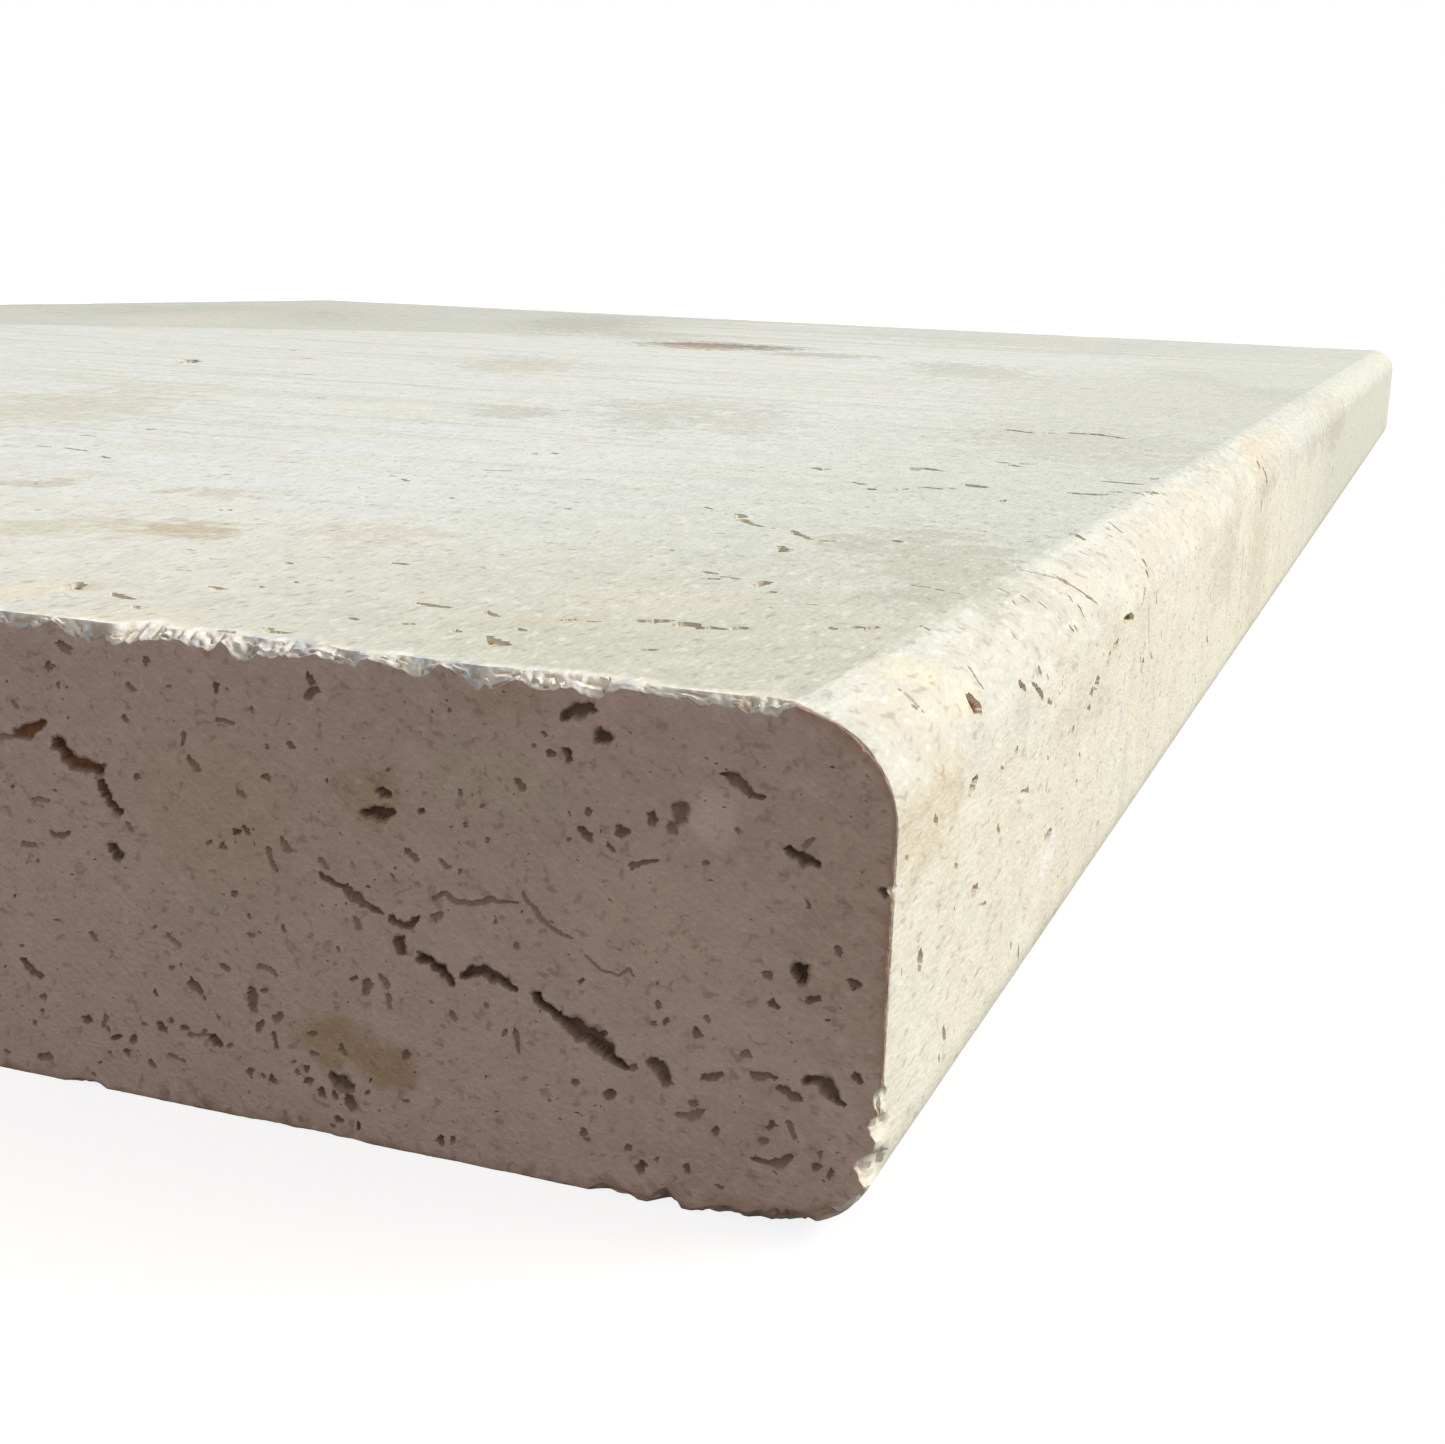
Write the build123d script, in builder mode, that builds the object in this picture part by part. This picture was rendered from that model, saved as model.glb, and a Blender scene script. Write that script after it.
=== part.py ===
"""Pool coping stone: one sawn unit of travertine with a pencil-rounded pool side.

Frame: +Z up, origin at the centre of the underside. The rounded pool side faces +X,
the length runs along Y, and the worn near end is at -Y. Millimetres.
"""
import os
from math import sqrt

from build123d import *

# The slab
length = 610.0          # along the pool's edge
width = 406.0           # from the back joint to the pool side
thickness = 30.0

# The pool side, rounded above and below
edge_radius = 6.0       # pencil round of both arrises
quirk_depth = 0.3       # the upper round starts this far below the walking face
quirk_run = 0.4         # width of the small ramp up to the walking face

# Natural voids, opened by the saw: their walls lean in as they go down
void_taper = 16.0       # degrees
void_depth = 1.0        # as a share of the void's breadth

# Voids of the near end: distance in from the pool side, height as a share of the
# thickness, span, breadth, and tilt in degrees from the bedding
end_voids = [
    (33.5, 0.55, 5.0, 0.8, -40),
    (29.4, 0.49, 5.2, 1.0, -3),
    (27.0, 0.39, 2.6, 0.8, -35),
    (23.5, 0.385, 4.4, 1.0, -4),
    (17.4, 0.32, 7.4, 1.6, -28),
    (12.7, 0.26, 2.0, 0.8, -36),
    (22.7, 0.525, 9.4, 0.5, -7),
    (16.8, 0.897, 1.5, 1.3, 0),
    (18.3, 0.932, 2.2, 0.8, 24),
    (8.8, 0.843, 3.4, 0.8, -27),
    (5.1, 0.722, 2.6, 1.2, -20),
    (30.9, 0.693, 1.8, 1.5, 0),
    (51.5, 0.717, 4.4, 1.3, -24),
    (3.3, 0.287, 2.8, 0.8, -24),
]

# Voids of the walking face: distance in from the pool side, distance from the near
# end, span, breadth, and tilt in degrees from the width
top_voids = [
    (32.9, 67.7, 8.0, 1.6, -54),
    (26.0, 62.0, 4.6, 1.3, -50),
    (23.2, 37.5, 6.4, 1.2, -26),
    (19.0, 18.0, 7.4, 1.0, 4),
    (68.4, 91.5, 4.6, 1.2, 38),
    (24.5, 191.5, 8.4, 1.4, -9),
    (9.3, 114.2, 9.6, 1.0, 38),
]

# Voids of the pool side: distance from the near end, height as a share of the
# thickness, span, breadth, and tilt in degrees from the bedding
pool_voids = [
    (33.0, 0.83, 12.0, 1.6, -16),
    (64.5, 0.73, 9.0, 1.4, 22),
    (52.0, 0.655, 8.0, 1.2, 12),
    (41.0, 0.44, 2.6, 1.5, 60),
    (100.5, 0.29, 3.2, 1.5, 80),
]

# Spalls along the arrises of the near end: distance in from the pool side, half
# length along the arris, and bite into it
top_spalls = [
    (49.7, 2.0, 0.75),
    (41.3, 2.4, 0.70),
    (28.6, 1.8, 0.65),
    (24.3, 1.6, 0.90),
    (12.2, 2.6, 0.55),
    (7.8, 1.5, 0.70),
]
bottom_spalls = [
    (17.0, 2.8, 0.45),
    (12.6, 1.7, 0.75),
    (5.5, 2.4, 0.60),
]

# The break at the near end of the pool side's lower round: a wide shallow scoop
break_reach = 3.9       # half of its height
break_bite = 1.2
break_rise = 5.4        # height of its middle above the underside

# The stone's working faces, with their origins at the near end of the pool side
near_end = Plane(origin=(width / 2, -length / 2, 0), x_dir=(1, 0, 0), z_dir=(0, -1, 0))
walking_face = Plane(origin=(width / 2, -length / 2, thickness), x_dir=(1, 0, 0), z_dir=(0, 0, 1))
pool_side = Plane(origin=(width / 2, -length / 2, 0), x_dir=(0, 1, 0), z_dir=(1, 0, 0))


def scoop_radius(reach, bite):
    """Radius of the ball whose cap is this deep and reaches this far from its middle."""
    return (reach ** 2 + bite ** 2) / (2 * bite)


# Each void as its face, its middle on that face, its span, breadth and tilt
voids = [(near_end, -inset, share * thickness, *size) for inset, share, *size in end_voids]
voids += [(walking_face, -inset, along, *size) for inset, along, *size in top_voids]
voids += [(pool_side, along, share * thickness, *size) for along, share, *size in pool_voids]

# Each spall as its middle on the near end, the side of the arris that its ball lies
# on, its half length and bite
spalls = [(-inset, thickness, 1, *size) for inset, *size in top_spalls]
spalls += [(-inset, 0, -1, *size) for inset, *size in bottom_spalls]

with BuildPart() as coping_stone:
    with BuildSketch(Plane.XZ.offset(-length / 2)):
        with BuildLine():
            base = Line((-width / 2, 0), (width / 2 - edge_radius, 0))
            lower_round = JernArc(base @ 1, base % 1, edge_radius, 90)
            upper_start = thickness - quirk_depth - edge_radius
            pool_flat = Line(lower_round @ 1, (width / 2, upper_start))
            upper_round = JernArc(pool_flat @ 1, pool_flat % 1, edge_radius, 90)
            quirk = Line(upper_round @ 1, (width / 2 - edge_radius - quirk_run, thickness))
            Polyline(quirk @ 1, (-width / 2, thickness), base @ 0)
        make_face()
    extrude(amount=length)

    for face, x, y, span, breadth, tilt in voids:
        with BuildSketch(face):
            with Locations((x, y)):
                SlotOverall(span, breadth, rotation=tilt)
        extrude(amount=-void_depth * breadth, taper=void_taper, mode=Mode.SUBTRACT)

    # A spall's ball stands off its arris evenly to both sides
    for x, z, side, reach, bite in spalls:
        radius = scoop_radius(reach, bite)
        stand_off = (radius - bite) / sqrt(2)
        with Locations(near_end * Pos(x, z + side * stand_off, stand_off)):
            Sphere(radius, mode=Mode.SUBTRACT)

    break_radius = scoop_radius(break_reach, break_bite)
    with Locations(pool_side * Pos(0, break_rise, break_radius - break_bite)):
        Sphere(break_radius, mode=Mode.SUBTRACT)

coping_stone.part.label = "coping_stone"
os.makedirs("parts", exist_ok=True)
export_step(coping_stone.part, "parts/coping_stone.step")
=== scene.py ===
"""Pool coping stone in travertine: detailed surface, material, light and camera.

The geometry is worked out in millimetres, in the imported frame, and becomes metres when
the mesh is made. Features that the photograph shows are placed by their pixels in its
1445 x 1444 frame, through the camera, onto the face of the stone that carries them.
"""
import math

import bpy
import numpy as np
from mathutils import Matrix, Vector
from mathutils.geometry import delaunay_2d_cdt


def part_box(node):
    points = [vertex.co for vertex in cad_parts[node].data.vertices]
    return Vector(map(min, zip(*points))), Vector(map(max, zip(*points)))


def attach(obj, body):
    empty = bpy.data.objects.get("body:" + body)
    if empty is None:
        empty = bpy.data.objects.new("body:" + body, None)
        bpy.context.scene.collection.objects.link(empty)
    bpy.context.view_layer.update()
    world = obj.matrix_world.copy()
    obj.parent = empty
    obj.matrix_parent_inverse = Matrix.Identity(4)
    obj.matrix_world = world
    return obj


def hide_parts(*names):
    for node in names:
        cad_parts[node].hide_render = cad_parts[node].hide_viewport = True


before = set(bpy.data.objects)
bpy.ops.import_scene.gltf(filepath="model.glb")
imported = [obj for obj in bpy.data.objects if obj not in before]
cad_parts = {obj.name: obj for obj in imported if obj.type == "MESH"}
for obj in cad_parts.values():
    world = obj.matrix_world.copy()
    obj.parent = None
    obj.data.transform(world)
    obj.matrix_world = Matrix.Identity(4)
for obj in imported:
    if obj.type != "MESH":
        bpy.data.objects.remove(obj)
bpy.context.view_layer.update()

NODE = "coping_stone"
MM = 0.001

# The slab, in millimetres
low, high = (np.array(corner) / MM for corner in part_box(NODE))
HALF_WIDTH = (high[0] - low[0]) / 2
THICKNESS = high[2] - low[2]
NEAR_Y, FAR_Y = low[1], high[1]
EDGE_RADIUS = 6.0       # pencil round of the pool side's arrises
QUIRK_DEPTH = 0.3       # the upper round lies this far below the walking face
QUIRK_INSET = 5.8       # the walking face ends this far from the pool side
QUIRK_ANGLE = 70        # where its short ramp meets the round, in degrees
BACK_WEAR = 0.35        # softened arris of the sawn back

# Marks of the cross-section along which the mesh needs an edge
CREASES = ("quirk", "upper_round", "side_top", "side_bottom", "bottom_start",
           "back_top", "top_start", "bottom_end", "back_bottom")

VIEW_X = 138.0          # the photograph shows the near end beyond this x
WELD = 0.004            # points this close become one
SHARP_ANGLE = 34        # edges sharper than this are not smoothed, in degrees
SEED = 41

# The camera, solved from the straight edges of the stone in the photograph
PHOTO_WIDE, PHOTO_HIGH = 1445, 1444
SENSOR = 36.0
LENS = 49.54
CAMERA_AT = np.array([228.31, -401.55, 52.58])
HEADING, PITCH, ROLL = 20.05, -13.17, 2.09      # degrees, heading turned left from +Y


def camera_axes():
    """The camera's right, up and forward directions."""
    heading, pitch, roll = (math.radians(angle) for angle in (HEADING, PITCH, ROLL))
    level = math.cos(pitch)
    forward = np.array([-math.sin(heading) * level, math.cos(heading) * level, math.sin(pitch)])
    flat_right = np.array([math.cos(heading), math.sin(heading), 0.0])
    flat_up = np.cross(flat_right, forward)
    right = flat_right * math.cos(roll) + flat_up * math.sin(roll)
    return right, np.cross(right, forward), forward


RIGHT, UP, FORWARD = camera_axes()


def ray(u, v):
    """Direction of the photograph's pixel (u, v) from the camera."""
    focal = LENS / SENSOR * PHOTO_WIDE
    return FORWARD + RIGHT * (u - PHOTO_WIDE / 2) / focal - UP * (v - PHOTO_HIGH / 2) / focal


# Cross-section of the slab


def cross_section():
    """The outline as rows of (s, x, z, nx, nz), and the places where it changes.

    s is the distance along it, from the middle of the back face, up and round.
    """
    rows, marks = [], {}

    def line(x, z, normal):
        start = rows[-1]
        s = start[0] + math.hypot(x - start[1], z - start[2])
        rows.append((start[0], start[1], start[2], *normal))
        rows.append((s, x, z, *normal))

    def arc(x, z, radius, begin, steps, sweep=90):
        s = rows[-1][0]
        for step in range(steps + 1):
            angle = math.radians(begin - sweep * step / steps)
            nx, nz = math.cos(angle), math.sin(angle)
            along = s + radius * math.radians(sweep) * step / steps
            rows.append((along, x + radius * nx, z + radius * nz, nx, nz))

    def mark(name):
        marks[name] = rows[-1][0]

    rows.append((0.0, -HALF_WIDTH, THICKNESS / 2, -1.0, 0.0))
    line(-HALF_WIDTH, THICKNESS - BACK_WEAR, (-1, 0))
    mark("back_top")
    arc(-HALF_WIDTH + BACK_WEAR, THICKNESS - BACK_WEAR, BACK_WEAR, 180, 3)
    mark("top_start")
    line(HALF_WIDTH - QUIRK_INSET, THICKNESS, (0, 1))
    mark("quirk")
    middle = (HALF_WIDTH - EDGE_RADIUS, THICKNESS - QUIRK_DEPTH - EDGE_RADIUS)
    turn = math.radians(QUIRK_ANGLE)
    line(middle[0] + EDGE_RADIUS * math.cos(turn), middle[1] + EDGE_RADIUS * math.sin(turn),
         (0.34, 0.94))
    mark("upper_round")
    arc(*middle, EDGE_RADIUS, QUIRK_ANGLE, 20, QUIRK_ANGLE)
    mark("side_top")
    line(HALF_WIDTH, EDGE_RADIUS, (1, 0))
    mark("side_bottom")
    arc(HALF_WIDTH - EDGE_RADIUS, EDGE_RADIUS, EDGE_RADIUS, 0, 24)
    mark("bottom_start")
    line(-HALF_WIDTH + BACK_WEAR, 0.0, (0, -1))
    mark("bottom_end")
    arc(-HALF_WIDTH + BACK_WEAR, BACK_WEAR, BACK_WEAR, -90, 3)
    mark("back_bottom")
    line(-HALF_WIDTH, THICKNESS / 2, (-1, 0))
    mark("end")
    return np.array(rows), marks


SECTION, MARKS = cross_section()
GIRTH = MARKS["end"]
ROUND_EDGE = MARKS["quirk"] - 0.3     # keeps the walking face flat up to its edge


def fold(s):
    """Points (x, z) and outward normals (nx, nz) of the outline at distances s."""
    columns = [np.interp(s, SECTION[:, 0], SECTION[:, i]) for i in (1, 2, 3, 4)]
    return np.stack(columns[:2], axis=-1), np.stack(columns[2:], axis=-1)


def top_s(x):
    """Distance along the outline of a point of the walking face."""
    return MARKS["top_start"] + x + HALF_WIDTH - BACK_WEAR


def on_end(u, v):
    """Point (x, z) of the near end under the photograph's pixel (u, v)."""
    direction = ray(u, v)
    point = CAMERA_AT + direction * (NEAR_Y - CAMERA_AT[1]) / direction[1]
    return point[0], point[2]


def on_band(u, v):
    """Point (s, y) of the top or the pool side under the photograph's pixel (u, v)."""
    direction = ray(u, v)
    best = None
    for (s0, x0, z0), (s1, x1, z1) in zip(SECTION[:-1, :3], SECTION[1:, :3]):
        size = math.hypot(x1 - x0, z1 - z0)
        if s1 < MARKS["top_start"] or s0 > MARKS["bottom_start"] or size == 0:
            continue
        normal = np.array([z0 - z1, 0.0, x1 - x0]) / size
        slope = direction @ normal
        if slope >= 0:
            continue
        far = ((np.array([x0, 0.0, z0]) - CAMERA_AT) @ normal) / slope
        point = CAMERA_AT + direction * far
        share = ((point[0] - x0) * (x1 - x0) + (point[2] - z0) * (z1 - z0)) / size ** 2
        if -0.001 <= share <= 1.001 and (best is None or far < best[0]):
            best = (far, s0 + share * (s1 - s0), point[1])
    if best is None:
        raise ValueError(f"pixel {u}, {v} misses the stone")
    return best[1], best[2]


# Random but repeatable unevenness


def lattice_noise(x, y, period, seed):
    """Smooth noise from -1 to 1 over (x, y), with bumps about one period wide."""
    x, y = np.asarray(x) / period, np.asarray(y) / period
    x0, y0 = np.floor(x).astype(int), np.floor(y).astype(int)
    base = (x0.min(), y0.min())
    table = np.random.default_rng(seed).uniform(
        -1, 1, (x0.max() - base[0] + 2, y0.max() - base[1] + 2))
    i, j = x0 - base[0], y0 - base[1]
    fx, fy = x - x0, y - y0
    fx, fy = fx * fx * (3 - 2 * fx), fy * fy * (3 - 2 * fy)
    lower = table[i, j] * (1 - fx) + table[i + 1, j] * fx
    upper = table[i, j + 1] * (1 - fx) + table[i + 1, j + 1] * fx
    return lower * (1 - fy) + upper * fy


def line_noise(s, period, seed):
    """Smooth noise from -1 to 1 along s, the same at both ends of the girth."""
    count = max(4, round(GIRTH / period))
    values = np.random.default_rng(seed).uniform(-1, 1, count + 1)
    values[-1] = values[0]
    place = np.clip(np.asarray(s) / GIRTH, 0, 1) * count
    i = np.minimum(place.astype(int), count - 1)
    f = place - i
    f = f * f * (3 - 2 * f)
    return values[i] * (1 - f) + values[i + 1] * f


def ease(value, start, end):
    """0 below start, 1 above end, smooth between."""
    t = np.clip((np.asarray(value) - start) / (end - start), 0, 1)
    return t * t * (3 - 2 * t)


# Cavities: pores, slots and fissures

ROUGH_STEP = 0.8        # a ragged path has a point about this often
LUMP_WAVES = np.random.default_rng(SEED + 90).normal(0, 4.2, (6, 2))
LUMP_PHASES = np.random.default_rng(SEED + 91).uniform(0, 2 * math.pi, 6)


class Cavity:
    """A hollow along a path of (a, b, radius) in a face's own millimetres."""

    def __init__(self, path, depth, stain=0.0, plain=False, rimmed=False):
        self.path = np.array(path, float)
        self.reach = self.path[:, 2].max()
        self.depth = depth
        self.stain = stain
        self.plain = plain          # small or out of view, so with fewer mesh points
        self.rimmed = rimmed        # its rim is stained a little way out
        self.gap = max(0.8 * self.reach, 0.14) if plain else np.clip(0.45 * self.reach, 0.12, 0.5)

    def box(self, share):
        """Corners of a box about the hollow out to a share of its radius, ragged rim included."""
        spots, radii = self.path[:, :2], self.path[:, 2:] * 1.5 * share
        return (spots - radii).min(0), (spots + radii).max(0)

    def lump(self, bases, towards):
        """How far the ragged rim stands out, about 1, from places of the path."""
        if self.reach < 0.13:
            return np.ones(len(bases))
        phases = (bases / self.reach + towards) @ LUMP_WAVES.T + LUMP_PHASES
        return np.clip(1 + 0.11 * np.sin(phases).sum(1), 0.6, 1.4)

    def closeness(self, points):
        """Distance from the path as a share of the radius there, at each point."""
        best = np.full(len(points), np.inf)
        for start, end in zip(self.path[:-1], self.path[1:]):
            step = end[:2] - start[:2]
            t = np.clip((points - start[:2]) @ step / (step @ step), 0, 1)
            bases = start[:2] + t[:, None] * step
            away = np.linalg.norm(points - bases, axis=1)
            towards = (points - bases) / np.maximum(away, 1e-9)[:, None]
            radii = (start[2] + t * (end[2] - start[2])) * self.lump(bases, towards)
            best = np.minimum(best, away / radii)
        return best

    def ring(self, share):
        """Points about the path at a share of its radius."""
        spots, towards = [], []
        for start, end in zip(self.path[:-1], self.path[1:]):
            step = end[:2] - start[:2]
            size = np.linalg.norm(step)
            side = np.array([-step[1], step[0]]) / size
            count = max(1, round(size / self.gap))
            for t in (np.arange(count) + 0.5) / count:
                spots += [start + t * (end - start)] * 2
                towards += [side, -side]
        for tip, before in ((self.path[0], self.path[1]), (self.path[-1], self.path[-2])):
            ahead = math.atan2(tip[1] - before[1], tip[0] - before[0])
            count = int(np.clip(round(math.pi * tip[2] * share / self.gap), 2, 8))
            for turn in (np.arange(count) + 0.5) / count * math.pi - math.pi / 2:
                spots.append(tip)
                towards.append([math.cos(ahead + turn), math.sin(ahead + turn)])
        spots, towards = np.array(spots), np.array(towards)
        radii = spots[:, 2] * share * self.lump(spots[:, :2], towards)
        for _ in range(0 if self.plain else 3):
            found = self.closeness(spots[:, :2] + towards * radii[:, None])
            radii *= np.clip(share / found, 0.7, 1.4)
        return spots[:, :2] + towards * radii[:, None]

    def points(self):
        """Mesh points that carry the hollow's rim, wall and floor."""
        if self.plain:
            shares = (1.0,) if self.reach < 0.4 else (1.0, 0.6)
        else:
            shares = (1.0, 0.7) if self.reach < 0.24 else (1.0, 0.8, 0.42)
        if self.rimmed:
            shares = (1.5,) + shares
        middles = (self.path[:-1, :2] + self.path[1:, :2]) / 2
        return np.concatenate([self.ring(share) for share in shares] + [middles, self.path[:, :2]])


def roughened(path, rng):
    """The path with a ragged width: extra points, each a little off the line."""
    if len(path) == 1:
        a, b, radius = path[0]
        turn = rng.uniform(0, math.pi)
        da, db = 0.4 * radius * math.cos(turn), 0.4 * radius * math.sin(turn)
        path = [(a - da, b - db, radius * rng.uniform(0.55, 0.9)),
                (a + da, b + db, radius * rng.uniform(0.7, 0.95))]
    path = np.array(path, float)
    rough = [path[0]]
    for start, end in zip(path[:-1], path[1:]):
        count = max(1, round(np.linalg.norm(end[:2] - start[:2]) / ROUGH_STEP))
        for i in range(1, count + 1):
            spot = start + (end - start) * i / count
            shift = rng.uniform(-0.25, 0.25, 2) * spot[2]
            if i < count or end is not path[-1]:
                spot = np.array([*(spot[:2] + shift), spot[2] * rng.uniform(0.6, 1.2)])
            rough.append(spot)
    return rough


def fields(points, cavities):
    """Depth below the face, hollowness and stain at each point."""
    depth, hollow, stain = (np.zeros(len(points)) for _ in range(3))
    order = np.argsort(points[:, 0])
    sorted_a = points[order, 0]
    for cavity in cavities:
        lowest, highest = cavity.box(1.5 if cavity.rimmed else 1.0)
        chosen = order[np.searchsorted(sorted_a, lowest[0]):np.searchsorted(sorted_a, highest[0])]
        b = points[chosen, 1]
        chosen = chosen[(b > lowest[1]) & (b < highest[1])]
        if not len(chosen):
            continue
        near = cavity.closeness(points[chosen])
        sunk = cavity.depth * np.interp(near, [0, 0.42, 0.8, 0.9], [1.0, 0.9, 0.65, 0.0])
        inside = np.interp(near, [0.42, 0.8, 0.9], [1.0, 0.55, 0.0])
        if cavity.rimmed:
            inside = np.interp(near, [0.42, 0.85, 1.0, 1.5], [1.0, 0.5, 0.28, 0.0])
        depth[chosen] = np.maximum(depth[chosen], sunk)
        # Hollowness grows with depth, so deeper cavities get a darker core: partly a deposit,
        # partly painted shade
        hollow[chosen] = np.maximum(hollow[chosen], inside * np.clip(cavity.depth / 0.55, 0.3, 1))
        stain[chosen] = np.maximum(stain[chosen], inside * cavity.stain)
    return depth, hollow, stain


def rim_points(flat, triangles, cavities, finest):
    """Points where long edges come out of a hollow, so that its walls end at its rim."""
    depth = fields(flat, cavities)[0]
    edges = np.concatenate([triangles[:, [0, 1]], triangles[:, [1, 2]], triangles[:, [2, 0]]])
    edges = edges[(depth[edges[:, 0]] > 0.02) & (depth[edges[:, 1]] <= 0.0)]
    inner, outer = flat[edges[:, 0]], flat[edges[:, 1]]
    chosen = np.linalg.norm(outer - inner, axis=1) > 2 * finest(inner)
    inner, outer = inner[chosen], outer[chosen]
    shares = np.linspace(0, 1, 12)[1:-1]
    probes = inner[:, None] + (outer - inner)[:, None] * shares[:, None]
    out = fields(probes.reshape(-1, 2), cavities)[0].reshape(probes.shape[:2]) <= 0.0
    first = out.argmax(1)
    found = probes[np.arange(len(probes)), first]
    far = out.any(1) & (np.linalg.norm(outer - found, axis=1) > finest(inner))
    found = found[far]
    _, kept = np.unique(np.round(found / 0.07).astype(int), axis=0, return_index=True)
    return found[kept]


def graded_points(lowest, highest, spacing, seed):
    """Jittered points that fill a box, as far apart as spacing(a, b) says."""
    rng = np.random.default_rng(seed)
    largest = 16.0
    cells = np.array([(a, b, largest) for a in np.arange(lowest[0], highest[0], largest)
                      for b in np.arange(lowest[1], highest[1], largest)])
    points = []
    while len(cells):
        middle = cells[:, :2] + cells[:, 2:] / 2
        fine = cells[:, 2] > spacing(middle[:, 0], middle[:, 1]) * 1.4
        sizes = cells[~fine, 2:]
        points.append(middle[~fine] + rng.uniform(-0.3, 0.3, (len(sizes), 2)) * sizes)
        half = cells[fine].copy()
        half[:, 2] /= 2
        cells = np.concatenate([half + np.array([da, db, 0]) * half[:, 2:]
                                for da in (0, 1) for db in (0, 1)]) if len(half) else half
    points = np.concatenate(points)
    inside = (points > lowest).all(1) & (points < highest).all(1)
    return points[inside]


def triangulate(outline, points, lines):
    """Flat points and triangles of a face, from its closed outline, loose points and lines
    that must be edges.
    """
    verts = [Vector(point) for point in outline] + [Vector(point) for point in points]
    edges = []
    for line in lines:
        start = len(verts)
        verts += [Vector(point) for point in line]
        edges += [(i, i + 1) for i in range(start, start + len(line) - 1)]
    face = list(range(len(outline)))
    found = delaunay_2d_cdt(verts, edges, [face], 1, WELD)
    flat = np.array([tuple(vert) for vert in found[0]], float)
    given = [*outline, *points, *(point for line in lines for point in line)]
    for i, sources in enumerate(found[3]):
        if sources:
            flat[i] = given[sources[0]]
    triangles = np.array([tuple(corners) for corners in found[2]])
    a, b, c = (flat[triangles[:, i]] for i in range(3))
    turned = (b - a)[:, 0] * (c - a)[:, 1] - (b - a)[:, 1] * (c - a)[:, 0] < 0
    triangles[turned] = triangles[turned][:, ::-1]
    return flat, triangles


# The worn arrises of the two ends

# Rims of the broken near arris, by their pixels: the sawn end's upper rim, and the
# walking face's near rim behind it
END_RIM = [
    (0, 626), (26, 632), (51, 620), (67, 632), (88, 642), (108, 645), (129, 645), (152, 642),
    (173, 639), (191, 648), (211, 654), (220, 642), (232, 657), (252, 663), (261, 654), (276, 658),
    (293, 657), (314, 654), (331, 661), (355, 666), (367, 658), (390, 667), (416, 677), (428, 673),
    (440, 664), (458, 675), (472, 687), (490, 694), (499, 684), (510, 681), (534, 687), (557, 693),
    (572, 690), (598, 697), (622, 688), (645, 694), (669, 699), (689, 703), (701, 709), (713, 706),
    (739, 710), (757, 716), (777, 721), (786, 708), (801, 716), (818, 718),
]
WALK_RIM = [
    (0, 611), (29, 616), (88, 627), (138, 620), (176, 630), (220, 632), (264, 639), (308, 642),
    (352, 651), (396, 654), (440, 660), (478, 666), (513, 668), (557, 672), (601, 675), (645, 684),
    (689, 690), (733, 696), (771, 696), (801, 702),
]

# Losses along the rest of the near end, by their pixels: the arris there, half length,
# drop on the end face and recess on the long face, in millimetres
CHIPS = [
    (888, 890, 0.35, 0.45, 0.7), (876, 1100, 0.8, 0.6, 1.0), (879, 1130, 0.9, 0.8, 1.7),
    (872, 1150, 0.7, 0.4, 0.9), (860, 1166, 1.2, 1.2, 2.6), (842, 1196, 1.5, 0.45, 1.0),
    (612, 1192, 1.5, 0.7, 0.8), (664, 1196, 0.9, 1.2, 1.3), (735, 1212, 2.6, 0.8, 1.0),
    (786, 1218, 2.9, 1.35, 1.7), (822, 1214, 1.6, 0.9, 1.1), (86, 1092, 1.6, 0.5, 0.7),
    (300, 1134, 5.0, 0.25, 0.4),
]


def end_s(u, v):
    """Distance along the outline of the arris point nearest to a pixel of the near end."""
    x, z = on_end(u, v)
    s = np.linspace(0, GIRTH, 20000)
    spots, _ = fold(s)
    return s[np.argmin(np.hypot(spots[:, 0] - x, spots[:, 1] - z))]


def humped(s, period, seed):
    """Noise from 0 to 1 with narrow gaps between broad humps."""
    return np.abs(line_noise(s, period, seed)) ** 0.6


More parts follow.
